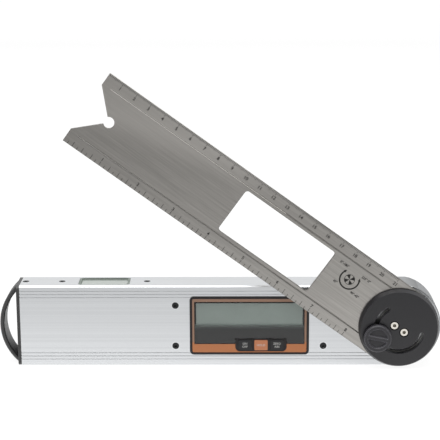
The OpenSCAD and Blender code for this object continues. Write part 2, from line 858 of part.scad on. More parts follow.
module circuit_board() {
    color(board_color) difference() {
        on_display() plate(y_board, board_t) square([board_w, board_h], center = true);
        place_board_screws() bar(y_board - over, board_t + 2 * over, round_shank_r + fit);
    }
}

module dome_switches() {
    color(bright_color) for (i = [-1:1]) on_button(i) bar(y_board - dome_t, dome_t, dome_r);
}

// A button with its lip and stem: -1, 0 or 1 from left to right
module button(i) {
    y_face = y_frame - button_proud;
    on_button(i) {
        plate(y_face, lip_front + lip_t - y_face) polygon(button_points(i, 0));
        plate(lip_front, lip_t) square([button_w + 2 * lip_w, button_h - 2 * fit], center = true);
        bar(lip_front, stem_end - lip_front, stem_r);
    }
}

module button_on_off() {
    color(black_color) button(-1);
}

module button_hold() {
    color(copper_color) button(0);
}

module button_zero() {
    color(black_color) button(1);
}

module display_screws() {
    color(black_color) place_display_screws() flat_screw();
}

module board_screws() {
    color(bright_color) place_board_screws() {
        bar(y_board - round_grip, round_grip + board_t + round_head_t, round_shank_r);
        bar(y_board_back, round_head_t, round_head_r);
    }
}

module battery_tray() {
    tongue_room = tongue_l + fit;
    color(black_color) difference() {
        on_battery() plate(y_tray_back - tray_t, tray_t) square([tray_w, tray_h], center = true);
        on_battery() bar(y_pocket, pocket_t + over, cell_r + 2 * fit);
        on_battery() translate([-contact_w / 2 - fit, y_pocket, 0])
            cube([contact_w + 2 * fit, pocket_t + over, cell_r + 4 * fit + contact_t]);
        on_battery()
            translate([-cover_w / 2 - tongue_room, y_tray_back - tongue_t - fit, -tongue_w / 2 - fit])
                cube([tongue_room + tongue_l + fit, tongue_t + over, tongue_w + 2 * fit]);
        place_cover_screw() flat_hole();
    }
}

module battery_contacts() {
    color(bright_color) on_battery() {
        translate([-contact_w / 2, y_pocket, -cell_cap_r]) cube([contact_w, contact_t, cell_cap_r]);
        translate([-contact_w / 2, y_pocket + contact_t, cell_r + fit]) cube([contact_w, cell_t, contact_t]);
    }
}

module coin_cell() {
    color(bright_color) on_battery() union() {
        bar(y_pocket + contact_t, cell_t, cell_cap_r);
        bar(y_pocket + contact_t + cell_cap_t, cell_t - cell_cap_t, cell_r);
    }
}

module battery_cover() {
    color(black_color) difference() {
        union() {
            on_battery() plate(y_tray_back, face_wall - fit) polygon(soft_box(cover_w, cover_h, cover_round));
            on_battery() translate([-cover_w / 2 - tongue_l, y_tray_back - tongue_t, -tongue_w / 2])
                cube([2 * tongue_l, tongue_t, tongue_w]);
            on_battery() translate([-cover_w / 2, y_tray_back - tongue_t, -tongue_w / 2])
                cube([tongue_l, tongue_t + face_wall / 2, tongue_w]);
        }
        place_cover_screw() flat_hole();
    }
}

module cover_screw() {
    color(black_color) place_cover_screw() flat_screw();
}

module pivot_bush() {
    color(brass_color) on_pivot() difference() {
        union() {
            bar(y_front, face_wall + bush_flange_t, bush_r);
            bar(y_hollow, bush_flange_t, bush_r + bush_flange_w);
        }
        bar(y_front - over, body_d, shaft_r + run);
    }
}

module friction_washer() {
    color(white_color) on_pivot() washer(y_friction, friction_t, shaft_r + 2 * fit, shaft_flange_r);
}

module thrust_washer() {
    color(white_color) on_pivot() washer(y_bush_end, thrust_t, shaft_r + 2 * fit, hub_r);
}

module disc_spring() {
    inner_r = shaft_r + 2 * fit;
    color(bright_color) on_pivot() translate([0, y_hub, 0]) rotate([90, 0, 0]) rotate_extrude($fn = round_fn)
        polygon([[inner_r, 0], [inner_r, spring_t], [hub_r, spring_h], [hub_r, spring_h - spring_t]]);
}

module encoder_base() {
    color(black_color) on_pivot() washer(y_hollow, y_board - y_hollow, base_r, encoder_r);
}

module encoder_stator() {
    color(board_color) on_pivot() plate(y_board, board_t) difference() {
        union() {
            circle(encoder_r, $fn = round_fn);
            translate([-encoder_r - stator_tab, -ribbon_w / 2 - over])
                square([encoder_r + stator_tab, ribbon_w + 2 * over]);
        }
        circle(stator_hole_r, $fn = round_fn);
    }
}

module encoder_ribbon() {
    color(ribbon_color) on_pivot() plate(y_board_back, ribbon_t)
        translate([ribbon_start, -ribbon_w / 2]) square([ribbon_stop - ribbon_start, ribbon_w]);
}

module pivot_shaft() {
    color(bright_color) on_blade() difference() {
        union() {
            bar(y_blade + fit, y_blade_back - y_blade - fit, shaft_boss_r);
            bar(y_blade_back, shaft_flange_t, shaft_flange_r);
            bar(y_blade_back, y_shaft_end - y_blade_back, shaft_r);
        }
        washer(y_clip, clip_t + run, shaft_r - clip_groove, shaft_r + over);
        for (side = [-1, 1]) translate([side * pivot_screw_off, 0, 0])
            bar(y_blade - over, pivot_grip + over + fit, pivot_shank_r + run);
    }
}

module encoder_rotor() {
    color(board_color) on_blade() difference() {
        union() {
            bar(y_hub, y_rotor - y_hub, hub_r);
            bar(y_rotor, board_t, encoder_r - rotor_inset);
        }
        bar(y_hub - over, body_d, shaft_r + run);
    }
}

module retaining_clip() {
    inner_r = shaft_r - clip_groove + run;
    color(bright_color) on_blade() difference() {
        washer(y_clip, clip_t, inner_r, inner_r + clip_w);
        translate([-shaft_r / 2, y_clip - over, 0]) cube([shaft_r, clip_t + 2 * over, 2 * shaft_r]);
    }
}

// The arc slot that the lock's stud runs in, in the closed blade's plane
module slot_outline() {
    blank = 360 - (slot_to - slot_from);
    far = 2 * lock_r;
    wedge_steps = 4;
    difference() {
        circle(lock_r + slot_w / 2, $fn = round_fn);
        circle(lock_r - slot_w / 2, $fn = round_fn);
        polygon(concat([[0, 0]], [for (i = [0:wedge_steps])
            let (a = slot_to + blank * i / wedge_steps) [far * cos(a), far * sin(a)]]));
    }
    for (a = [slot_from, slot_to])
        translate([lock_r * cos(a), lock_r * sin(a)]) circle(slot_end_r, $fn = small_fn);
}

// Outline of the blade when closed, about the pivot axis
module blade_outline() {
    difference() {
        union() {
            circle(blade_w / 2 - tail_inset, $fn = round_fn);
            translate([-blade_l, -blade_w / 2]) square([blade_l, blade_w]);
        }
        polygon([[-blade_l - over, notch_half + over], [notch_half - blade_l, 0],
                 [-blade_l - over, -notch_half - over]]);
        translate([notch_half - blade_l, 0]) circle(relief_r, $fn = small_fn);
        translate([-window_start - window_l / 2, 0]) polygon(soft_box(window_l, window_h, window_round));
        circle(shaft_boss_r + run, $fn = round_fn);
        slot_outline();
    }
}

module blade() {
    color(steel_color) on_blade() difference() {
        plate(y_blade, blade_t) blade_outline();
        for (side = [-1, 1])
            translate([line_end - blade_l, y_blade, side * (blade_w / 2 - line_in)]) rotate([90, 0, 90])
                linear_extrude(blade_l - line_end - line_start)
                    polygon([[0, -line_w / 2], [line_depth, 0], [0, line_w / 2], [-over, line_w / 2],
                             [-over, -line_w / 2]]);
    }
}

module pivot_disc() {
    color(black_color) on_blade() difference() {
        translate([0, y_blade, 0]) rotate([90, 0, 0]) rotate_extrude($fn = round_fn)
            polygon([[0, 0], [disc_r, 0], [disc_r, disc_rim], [disc_face_r, disc_t], [0, disc_t]]);
        plate(y_disc - over, disc_t + 2 * over) slot_outline();
        for (side = [-1, 1]) translate([side * pivot_screw_off, 0, 0]) {
            bar(y_disc - over, over + head_sunk + pivot_head_t, pivot_head_r + fit);
            bar(y_disc - over, disc_t + 2 * over, pivot_shank_r + fit);
        }
    }
}

module pivot_screws() {
    y_head = y_disc + head_sunk;
    color(bright_color) place_pivot_screws() difference() {
        union() {
            bar(y_head, pivot_head_t, pivot_head_r);
            bar(y_head, y_blade + pivot_grip - y_head, pivot_shank_r);
        }
        translate([0, y_head + pivot_socket_t, 0]) rotate([90, 0, 0])
            cylinder(h = pivot_socket_t + over, r = pivot_head_r / 2, $fn = hex_fn);
    }
}

module lock_stud() {
    y_tip = y_lock_washer - stud_grip;
    color(bright_color) on_lock() union() {
        bar(y_tip, y_hollow + stud_head_t - y_tip, stud_r);
        bar(y_hollow, stud_head_t, stud_head_r);
    }
}

module lock_spacer() {
    color(white_color) on_lock() washer(y_blade_back + run, blade_gap - run, stud_r + fit, spacer_r);
}

module lock_washer() {
    color(bright_color) on_lock() washer(y_lock_washer, lock_washer_t, stud_r + fit, spacer_r);
}

module lock_knob() {
    e = recess_edge;
    half = ridge_w / 2;
    deep = recess_depth + over;
    color(black_color) on_lock() rotate([0, ridge_turn, 0]) difference() {
        translate([0, y_lock_washer, 0]) rotate([90, 0, 0]) rotate_extrude($fn = round_fn)
            polygon([[0, 0], [knob_r, 0], [knob_r, knob_t - knob_bevel], [knob_r - knob_bevel, knob_t],
                     [0, knob_t]]);
        difference() {
            translate([0, y_knob + recess_depth, 0]) rotate([90, 0, 0]) rotate_extrude($fn = small_fn)
                polygon([[0, 0], [recess_r, 0], [recess_r, recess_depth - e], [recess_r + e, recess_depth],
                         [recess_r + e, deep], [0, deep]]);
            translate([-knob_r, y_knob, 0]) rotate([90, 0, 90]) linear_extrude(2 * knob_r)
                polygon([[-2 * over, half - e], [0, half - e], [e, half], [deep, half], [deep, -half],
                         [e, -half], [0, e - half], [-2 * over, e - half]]);
        }
        bar(y_lock_washer - stud_grip - fit, stud_grip + fit + over, stud_r + run);
    }
}

body_extrusion();
nose_plug();
end_cap();
top_screws();
vial_holder();
vial_block();
vial_liquid();
vial_bubble();
vial_plug();
display_frame();
display_fascia();
display_lens();
lcd_glass();
contact_strips();
circuit_board();
dome_switches();
button_on_off();
button_hold();
button_zero();
display_screws();
board_screws();
battery_tray();
battery_contacts();
coin_cell();
battery_cover();
cover_screw();
pivot_bush();
friction_washer();
thrust_washer();
disc_spring();
encoder_base();
encoder_stator();
encoder_ribbon();
pivot_shaft();
encoder_rotor();
retaining_clip();
blade();
pivot_disc();
pivot_screws();
lock_stud();
lock_spacer();
lock_washer();
lock_knob();
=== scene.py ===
"""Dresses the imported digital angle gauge: finishes, rule marks, button words, studio and camera."""

import logging
import math
from dataclasses import dataclass
from enum import Enum
from typing import Any, ClassVar

import bpy
import numpy as np
from mathutils import Matrix, Vector


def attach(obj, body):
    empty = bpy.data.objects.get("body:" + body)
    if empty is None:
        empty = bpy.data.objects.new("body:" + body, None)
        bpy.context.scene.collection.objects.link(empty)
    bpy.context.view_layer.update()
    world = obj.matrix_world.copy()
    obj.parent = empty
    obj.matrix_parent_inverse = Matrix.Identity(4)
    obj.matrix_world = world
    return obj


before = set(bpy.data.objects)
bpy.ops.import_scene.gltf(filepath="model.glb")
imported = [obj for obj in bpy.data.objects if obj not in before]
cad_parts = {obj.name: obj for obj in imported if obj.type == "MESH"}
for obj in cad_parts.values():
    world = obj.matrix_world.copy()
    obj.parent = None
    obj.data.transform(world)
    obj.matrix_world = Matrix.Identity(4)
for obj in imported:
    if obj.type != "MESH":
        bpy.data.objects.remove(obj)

LOG = logging.getLogger("angle_gauge")
MM = 0.001
WHITE = (1.0, 1.0, 1.0, 1.0)
# The cosine between a face and its softened normal at which an edge has its full painted light, and the
# number of samples that soften it.
EDGE_COSINE = 0.92
EDGE_SAMPLES = 6
# The wave texture's scale that puts its rings about one unit apart.
RING_SCALE = 1.0 / math.pi
# A capital's height as a share of the font's size, and the steps along each curve of a letter.
CAPITAL = 0.7
LETTER_STEPS = 3
# The steps round a full turn.
ROUND_STEPS = 48
# Short names for types: a mesh is its points and its faces.
Tree = bpy.types.NodeTree
Socket = bpy.types.NodeSocket
Pair = tuple[float, float]
Mesh = tuple[np.ndarray, list[list[int]]]
Spot = tuple[float, float, float]


class Body(Enum):
    """The moving bodies that a piece can ride on."""

    BODY = "body"
    BLADE = "blade"
    ON_OFF = "button_on_off"
    HOLD = "button_hold"
    ZERO = "button_zero"


def linear(code: str) -> tuple[float, float, float, float]:
    """Turns an sRGB hex colour into linear values.

    Args:
        code: The colour as #RRGGBB.

    Returns:
        Red, green and blue in linear light, and full alpha.
    """
    srgb = np.array([int(code[i:i + 2], 16) for i in (1, 3, 5)]) / 255.0
    low = srgb / 12.92
    high = ((srgb + 0.055) / 1.055) ** 2.4
    red, green, blue = np.where(srgb <= 0.04045, low, high).tolist()
    return red, green, blue, 1.0


def add(tree: Tree, kind: str, links: dict[Any, Socket] | None = None,
        values: dict[Any, Any] | None = None, **settings: Any) -> bpy.types.NodeOutputs:
    """Adds a node, sets its options and inputs, and links sockets to its inputs.

    Args:
        tree: The node tree that gets the node.
        kind: Blender's name of the node's type, after ShaderNode.
        links: Input to the socket that feeds it.
        values: Input to its fixed value.
        **settings: Options of the node itself.

    Returns:
        The new node's outputs.
    """
    node = tree.nodes.new(f"ShaderNode{kind}")
    for key, value in settings.items():
        setattr(node, key, value)
    for key, value in (values or {}).items():
        node.inputs[key].default_value = value
    for key, socket in (links or {}).items():
        tree.links.new(socket, node.inputs[key])
    return node.outputs


@dataclass(frozen=True)
class Fade:
    """A change of colour across a front face, from none at its start to a tint at its end."""

    tint: str  # The colour at the end
    start_mm: float  # The height where the change starts
    stop_mm: float  # The height where it ends
    share: float = 1.0  # How far the colour goes towards the tint
    turn: float = 0.0  # The turn of the height's axis from Z towards X, in degrees
    clear: bool = False  # Whether the finish also fades away
    power: float = 1.6  # The power that makes the change look even

    def dress(self, tree: Tree, shader: bpy.types.Node) -> None:
        """Puts the change between the shader and the colour that it has.

        Args:
            tree: The material's node tree.
            shader: The material's shader.
        """
        plain = shader.inputs["Base Color"].links[0].from_socket
        angle = math.radians(self.turn)
        place = add(tree, "TexCoord")
        height = add(tree, "VectorMath", {0: place["Object"]},
                     {1: (math.sin(angle), 0.0, math.cos(angle))}, operation="DOT_PRODUCT")
        rise = add(tree, "MapRange", {"Value": height["Value"]},
                   {"From Min": self.start_mm * MM, "From Max": self.stop_mm * MM},
                   interpolation_type="SMOOTHSTEP")
        even = add(tree, "Math", {0: rise[0]}, {1: self.power}, operation="POWER")
        part = add(tree, "Math", {0: even[0]}, {1: self.share}, operation="MULTIPLY")
        faded = add(tree, "Mix", {0: part[0], 6: plain}, {7: linear(self.tint)}, data_type="RGBA")
        tree.links.new(faded[2], shader.inputs["Base Color"])
        if self.clear:
            solid = add(tree, "Math", {1: even[0]}, {0: 1.0}, operation="SUBTRACT")
            tree.links.new(solid[0], shader.inputs["Alpha"])


@dataclass(frozen=True)
class Finish:
    """A surface finish that becomes one procedural material."""

    name: str  # The material's name, from what it is made of
    dark: str  # The darker colour of its pattern
    light: str  # The lighter colour of its pattern
    roughness: float = 0.5  # Its mean roughness
    metallic: float = 0.0  # 1 for bare metal, 0 for the rest
    bump_mm: float = 0.01  # The height of its surface pattern
    spread: float = 0.05  # How far the pattern moves the roughness each way
    edge_mm: float = 0.2  # The radius that softens its edges to the eye
    # What its colour is multiplied by on an edge: under 1 for painted shade, over 1 for a painted highlight.
    painted_edge_light: float = 1.0
    ior: float = 1.5  # Its index of refraction, which sets the sheen of what is not metal
    fade: Fade | None = None  # Its change of colour across a front face, if it has one

    def material(self) -> bpy.types.Material:
        """Gives the material, which is made the first time that it is asked for.

        Returns:
            The material.
        """
        found = bpy.data.materials.get(self.name)
        if found is not None:
            return found
        made = bpy.data.materials.new(self.name)
        made.use_nodes = True
        shader = made.node_tree.nodes["Principled BSDF"]
        shader.inputs["Metallic"].default_value = self.metallic
        shader.inputs["Roughness"].default_value = self.roughness
        shader.inputs["IOR"].default_value = self.ior
        self.dress(made.node_tree, shader)
        if self.fade is not None:
            self.fade.dress(made.node_tree, shader)
        return made

    def pattern(self, tree: Tree) -> Socket:
        """Gives the socket of a pattern from 0 to 1."""
        raise NotImplementedError

    def dress(self, tree: Tree, shader: bpy.types.Node) -> None:
        """Feeds the finish's pattern to the shader's colour, roughness and normal.

        Args:
            tree: The material's node tree.
            shader: The material's shader.
        """
        pattern = self.pattern(tree)
        colour = add(tree, "Mix", {0: pattern}, {6: linear(self.dark), 7: linear(self.light)},
                     data_type="RGBA")
        # Painted light on edges: where the softened normal turns from the face, the colour is multiplied by
        # the edge factor.
        edge = add(tree, "Bevel", values={"Radius": self.edge_mm * MM}, samples=EDGE_SAMPLES)
        face = add(tree, "NewGeometry")
        turned = add(tree, "VectorMath", {0: edge[0], 1: face["Normal"]}, operation="DOT_PRODUCT")
        painted_tone = add(tree, "MapRange", {"Value": turned["Value"]},
                   {"From Min": EDGE_COSINE, "From Max": 1.0, "To Min": self.painted_edge_light, "To Max": 1.0})
        shaded = add(tree, "VectorMath", {0: colour[2], 1: painted_tone[0]}, operation="MULTIPLY")
        tree.links.new(shaded[0], shader.inputs["Base Color"])
        rough = add(tree, "MapRange", {"Value": pattern},
                    {"To Min": self.roughness + self.spread, "To Max": self.roughness - self.spread})
        tree.links.new(rough[0], shader.inputs["Roughness"])
        bump = add(tree, "Bump", {"Height": pattern, "Normal": edge[0]},
                   {"Strength": 1.0, "Distance": self.bump_mm * MM})
        tree.links.new(bump[0], shader.inputs["Normal"])


@dataclass(frozen=True)
class Lined(Finish):
    """A surface with fine lines that run one way, as a die, an abrasive belt or thin layers leave them."""

    run_mm: float = 60.0  # The length of a line
    line_mm: float = 0.5  # The width of a line, drawn coarse enough to show in the picture
    turn: float = 0.0  # The lines' turn from the X axis about Y, in degrees
    detail: float = 5.0  # The number of finer layers in the noise
    fineness: float = 0.65  # The strength of each finer layer

    def pattern(self, tree: Tree) -> Socket:
        """Gives noise stretched along the lines.

        Args:
            tree: The material's node tree.

        Returns:
            The pattern's socket, from 0 to 1.
        """
        place = add(tree, "TexCoord")
        size = (self.run_mm * MM, self.line_mm * MM, self.line_mm * MM)
        turned = add(tree, "Mapping", {"Vector": place["Object"]},
                     {"Rotation": (0.0, math.radians(self.turn), 0.0), "Scale": size}, vector_type="TEXTURE")
        noise = add(tree, "TexNoise", {"Vector": turned[0]},
                    {"Scale": 1.0, "Detail": self.detail, "Roughness": self.fineness})
        return noise[0]


@dataclass(frozen=True)
class MilledMetal(Lined):
    """Lined metal with painted shade on its milled round end."""

    centre_mm: Pair = (0.0, 25.0)  # X and Z of the end's middle
    end_mm: float = 24.9  # The radius from which the end is milled
    painted_end_shade: float = 0.5  # What the colour is multiplied by there
    start_mm: float = 1.0  # The distance to the right of the middle over which the milling starts

    def dress(self, tree: Tree, shader: bpy.types.Node) -> None:
        """Links the lines as for other metal, and paints shade on the milled end.

        Args:
            tree: The material's node tree.
            shader: The material's shader.
        """
        super().dress(tree, shader)
        plain = shader.inputs["Base Color"].links[0].from_socket
        x, z = self.centre_mm
        place = add(tree, "TexCoord")
        moved = add(tree, "Mapping", {"Vector": place["Object"]},
                    {"Location": (-x * MM, 0.0, -z * MM), "Scale": (1.0, 0.0, 1.0)})
        away = add(tree, "VectorMath", {0: moved[0]}, operation="LENGTH")
        outside = add(tree, "Math", {0: away["Value"]}, {1: self.end_mm * MM}, operation="GREATER_THAN")
        parts = add(tree, "SeparateXYZ", {"Vector": place["Object"]})
        end_shade_ramp = add(tree, "MapRange", {"Value": parts["X"], "To Max": outside[0]},
                     {"From Min": x * MM, "From Max": (x + self.start_mm) * MM})
        # Painted shade: the colour on the milled end is multiplied down.
        painted_tone = add(tree, "MapRange", {"Value": end_shade_ramp[0]}, {"To Min": 1.0, "To Max": self.painted_end_shade})
        end_shaded = add(tree, "VectorMath", {0: plain, 1: painted_tone[0]}, operation="MULTIPLY")
        tree.links.new(end_shaded[0], shader.inputs["Base Color"])


@dataclass(frozen=True)
class Grained(Finish):
    """A surface with an even grain, such as moulded plastic, rubber, ink or bead-blasted metal."""

    grain_mm: float = 0.4  # The size of a grain
    detail: float = 3.0  # The number of finer layers in the noise
    fineness: float = 0.55  # The strength of each finer layer

    def pattern(self, tree: Tree) -> Socket:
        """Gives even noise at the grain's size.

        Args:
            tree: The material's node tree.

        Returns:
            The pattern's socket, from 0 to 1.
        """
        place = add(tree, "TexCoord")
        noise = add(tree, "TexNoise", {"Vector": place["Object"]},
                    {"Scale": 1.0 / (self.grain_mm * MM), "Detail": self.detail, "Roughness": self.fineness})
        return noise[0]


@dataclass(frozen=True)
class Clear(Grained):
    """A clear moulding or liquid, with a slow ripple in its surface for a grain."""

    detail: float = 1.0
    fineness: float = 0.5
    grain_mm: float = 6.0
    clarity: float = 1.0  # 1 for a clear moulding, less for one that scatters some of the light

    def dress(self, tree: Tree, shader: bpy.types.Node) -> None:
        """Makes the shader clear and tints it with the pattern's two colours."""
        shader.inputs["Transmission Weight"].default_value = self.clarity
        super().dress(tree, shader)


@dataclass(frozen=True)
class Turned(Finish):
    """Metal turned on a lathe, with fine rings about an axis along Y."""

    centre_mm: Pair = (0.0, 25.0)  # Where the axis meets the X Z plane
    ring_mm: float = 0.5  # The distance between rings, drawn coarse enough to show
    waver: float = 1.5  # How far noise breaks up the rings
    detail: float = 2.0  # The number of finer layers in that noise

    def pattern(self, tree: Tree) -> Socket:
        """Gives rings about the axis, broken up a little by noise.

        Args:
            tree: The material's node tree.

        Returns:
            The pattern's socket, from 0 to 1.
        """
        place = add(tree, "TexCoord")
        x, z = self.centre_mm
        moved = add(tree, "Mapping", {"Vector": place["Object"]},
                    {"Location": (x * MM, 0.0, z * MM), "Scale": (self.ring_mm * MM,) * 3},
                    vector_type="TEXTURE")
        rings = add(tree, "TexWave", {"Vector": moved[0]},
                    {"Scale": RING_SCALE, "Distortion": self.waver, "Detail": self.detail},
                    wave_type="RINGS", rings_direction="Y")
        return rings["Fac"]


# Silver anodised aluminium, extruded: a pale satin sheen with die lines, and painted shade on the milled end.
SILVER = MilledMetal("silver_anodised_aluminium", "#D2D4D6", "#E8EAEC", roughness=0.34, metallic=1.0,
                     bump_mm=0.002, spread=0.04, edge_mm=0.06, run_mm=900.0, line_mm=0.9)
# Stainless spring steel, belt-brushed along its length: grey hairlines, painted shade on its edges, and a
# painted highlight that makes it paler towards the tip's upper corner.
BLADE_STEEL = Lined("brushed_stainless_steel", "#8A8783", "#CCC9C4", roughness=0.34, metallic=1.0,
                    bump_mm=0.004, spread=0.06, edge_mm=0.5, painted_edge_light=0.4, run_mm=30.0, line_mm=0.45,
                    turn=36.0, fade=Fade("#F2EEE8", 60.0, 82.0, share=0.42, turn=22.0))
# Black anodised aluminium, bead-blasted: charcoal with a soft sheen, and painted highlights on its edges.
BLACK_ANODISED = Grained("black_anodised_aluminium", "#0F0E14", "#14131A", roughness=0.36, bump_mm=0.004,
                         spread=0.04, edge_mm=0.4, painted_edge_light=3.0, ior=1.6, grain_mm=0.5)
# Moulded ABS, fine-grained: the black frame and inner mouldings, the charcoal buttons and the lighter knob,
# which has painted highlights on its edges.
BLACK_ABS = Grained("black_moulded_abs", "#181315", "#221B1D", roughness=0.45, bump_mm=0.006)
BUTTON_ABS = Grained("charcoal_button_abs", "#1E1E20", "#2A2A2C", roughness=0.48, bump_mm=0.006, grain_mm=0.3)
KNOB_ABS = Grained("charcoal_knob_abs", "#2D2C30", "#38373B", roughness=0.38, bump_mm=0.006, edge_mm=0.4,
                   painted_edge_light=7.0)
# Glass-filled nylon, moulded: the dark grey end cap, with painted highlights on its edges, and the paler nose
# plug, dull and slightly uneven.
CAP_NYLON = Grained("dark_glass_filled_nylon", "#2E2E2E", "#3C3C3C", roughness=0.38, spread=0.06, edge_mm=0.5,
                    painted_edge_light=3.0, ior=1.6, grain_mm=0.6)
GREY_NYLON = Grained("grey_moulded_nylon", "#9C9EA0", "#A8AAAC", roughness=0.55, bump_mm=0.006, grain_mm=0.5)
# Acetal, machined or moulded: white washers, spacers and the vial's seat.
WHITE_ACETAL = Grained("white_acetal", "#DADAD4", "#E6E6E0", roughness=0.42, bump_mm=0.004, grain_mm=0.5)
# Copper-coloured lacquer on ABS: warm, with fine metal flake.
COPPER_LACQUER = Grained("copper_lacquered_abs", "#C67C56", "#DE946C", roughness=0.38, metallic=0.25,
                         bump_mm=0.003, spread=0.06, grain_mm=0.25)
# The same lacquer on the fascia, greyer round the lens above its bottom strip: a painted reflection.
FASCIA_LACQUER = Grained("copper_lacquered_fascia", "#BE764A", "#D68C5E", roughness=0.38, metallic=0.25,
                         bump_mm=0.003, spread=0.06, grain_mm=0.25, fade=Fade("#A4826E", 13.4, 15.4))
# Black-oxide steel: small screws with a dark satin skin.
BLACK_OXIDE = Grained("black_oxide_steel", "#232527", "#333537", roughness=0.4, metallic=0.4, bump_mm=0.004,
                      spread=0.06, grain_mm=0.2)
# Nickel-plated steel, turned: bright and a little warm, with fine rings.
NICKEL_STEEL = Turned("turned_nickel_plated_steel", "#DCD6CC", "#F4F0E8", roughness=0.26, metallic=1.0,
                      bump_mm=0.002)
# Brass, turned: the pivot's bush.
BRASS = Turned("turned_brass", "#A88A4A", "#C8AA68", roughness=0.3, metallic=1.0, bump_mm=0.002)
# Clear acrylic, moulded: the display's lens, and the vial's block with its pale spirit and bubble.
LENS_ACRYLIC = Clear("clear_lens_acrylic", "#F4F6F4", "#FAFCFA", roughness=0.03, bump_mm=0.001, spread=0.01)
VIAL_ACRYLIC = Clear("clear_vial_acrylic", "#D4DED6", "#DEE6E0", roughness=0.08, bump_mm=0.001, spread=0.02,
                     clarity=0.3)
VIAL_SPIRIT = Clear("tinted_vial_spirit", "#DCEBB0", "#E4F0BE", roughness=0.02, bump_mm=0.0005, spread=0.005,
                    ior=1.36)
VIAL_AIR = Clear("vial_air", "#FAFAFA", "#FFFFFF", roughness=0.02, bump_mm=0.0005, spread=0.005, ior=1.0)
# Liquid-crystal glass: plain grey-green with the display off.
LCD_GLASS = Grained("liquid_crystal_glass", "#A9B9B3", "#B1C1BB", roughness=0.2, bump_mm=0.0, spread=0.02,
                    grain_mm=3.0)
# Dark ink on the back of the lens: a mask whose soft top edge, painted shade, fades into the display.
LENS_MASK = Grained("lens_mask_ink", "#181719", "#1E1D1F", bump_mm=0.0, spread=0.02, grain_mm=0.3,
                    fade=Fade("#ADBDB7", 21.9, 26.4, clear=True))
# Glass-epoxy board with green solder mask, and amber polyimide film.
BOARD_MASK = Grained("green_solder_mask", "#24593A", "#2F6E48", roughness=0.35, bump_mm=0.004, spread=0.04,
                     grain_mm=0.8)
AMBER_FILM = Grained("amber_polyimide_film", "#B87C28", "#CC9238", roughness=0.25, bump_mm=0.002, spread=0.04,
                     grain_mm=1.0)
# Silicone rubber with conductive layers across it: the strips between the glass and the board.
STRIP_RUBBER = Lined("conductive_silicone_rubber", "#C09A92", "#D8B4AC", roughness=0.7, bump_mm=0.004,
                     run_mm=0.4, line_mm=8.0)
# Etched and blackened marks on steel, and printed white on plastic.
ETCHED_BLACK = Grained("etched_black_marks", "#161514", "#262422", roughness=0.6, bump_mm=0.002, edge_mm=0.01,
                       grain_mm=0.15)
PRINTED_WHITE = Grained("printed_white_ink", "#D6D6D2", "#E6E6E2", bump_mm=0.001, spread=0.04, edge_mm=0.01,
                        grain_mm=0.15)
# Scored steel: painted shade on the upper flank and a painted highlight on the lower flank of a line cut in
# the blade.
SCORED_SHADE = Grained("painted_shade_scored_steel", "#8A8681", "#98948F", roughness=0.6, bump_mm=0.002, edge_mm=0.01,
                      grain_mm=0.15)
SCORED_HIGHLIGHT = Grained("painted_highlight_scored_steel", "#DCD8D2", "#ECE8E2", roughness=0.4, bump_mm=0.001,
                        edge_mm=0.01, grain_mm=0.15)
# Painted shadow in dull black: a thin ring round the head of each pivot screw.
HEAD_SHADOW_PAINT = Grained("painted_head_shadow", "#040404", "#0A0A0A", roughness=0.9, bump_mm=0.002,
                        edge_mm=0.01, ior=1.15, grain_mm=0.3)
# Pale, glossy aluminium: a bright ring round each countersink.
BRIGHT_RIM_METAL = Grained("bright_rim_aluminium", "#DFE1E3", "#ECEEEF", roughness=0.3, metallic=1.0,
                        bump_mm=0.001, edge_mm=0.02, grain_mm=0.2)
# Painted shade, grey-green with a painted reflection of the vial: the wall round the vial's window.
VIAL_WALL_SHADE = Grained("painted_shade_vial_wall", "#8A938C", "#98A19A", roughness=0.6, bump_mm=0.004,
                      edge_mm=0.05, grain_mm=0.3)
# Plated steel in shade: the walls and floor of a screw's socket.
SHADED_STEEL = Grained("shaded_socket_steel", "#6E685A", "#9A9482", roughness=0.4, metallic=0.5,
                       bump_mm=0.002, edge_mm=0.02, grain_mm=0.3)


def join_meshes(parts: list[Mesh]) -> Mesh:
    """Joins meshes into one, with each part's faces counted on from the points before it.

    Args:
        parts: The meshes, as points and faces.

    Returns:
        All points and faces.
    """
    counts = np.cumsum([0] + [len(points) for points, _ in parts])
    faces = [[int(start) + i for i in face] for start, (_, part) in zip(counts, parts) for face in part]
    return np.concatenate([points for points, _ in parts]), faces


@dataclass(frozen=True)
class FrontPlane:
    """A plane that faces the front of the gauge and can be turned about Y."""

    origin: Spot = (0.0, 0.0, 0.0)  # The plane's middle in millimetres
    turn: float = 0.0  # Its turn about Y in degrees

    def place(self, mesh: Mesh, *spots: Spot) -> Mesh:
        """Copies a mesh to each spot, turns it about Y, moves it to the plane's middle and makes it metres.

        Args:
            mesh: The points in millimetres, as right, back and up from the plane's middle, and the faces.
            *spots: How far each copy is moved on the plane, in millimetres.

        Returns:
            The points in the gauge's frame, in metres, and the faces.
        """
        copies = [(mesh[0] + np.array(spot), mesh[1]) for spot in spots]
        points, faces = join_meshes(copies or [mesh])
        angle = math.radians(self.turn)
        right, back, up = points.T
        turned = np.column_stack([right * math.cos(angle) + up * math.sin(angle), back,
                                  up * math.cos(angle) - right * math.sin(angle)])
        return (turned + np.array(self.origin)) * MM, faces


# The gauge's own frame.
GAUGE = FrontPlane()


def boxes(middles: np.ndarray, halves: np.ndarray) -> Mesh:
    """Makes boxes: each corner is the middle plus or minus the half size in each direction.

    Args:
        middles: The boxes' middles, one a row.
        halves: The boxes' half sizes, one a row.

    Returns:
        The points and faces of all boxes.
    """
    signs = np.array([[x, y, z] for x in (-1, 1) for y in (-1, 1) for z in (-1, 1)])
    points = (middles[:, None, :] + signs[None] * halves[:, None, :]).reshape(-1, 3)
    sides = np.array([[0, 1, 3, 2], [4, 6, 7, 5], [0, 4, 5, 1], [2, 3, 7, 6], [0, 2, 6, 4], [1, 5, 7, 3]])
    faces = (np.arange(len(middles))[:, None, None] * len(signs) + sides[None]).reshape(-1, 4)
    return points, faces.tolist()


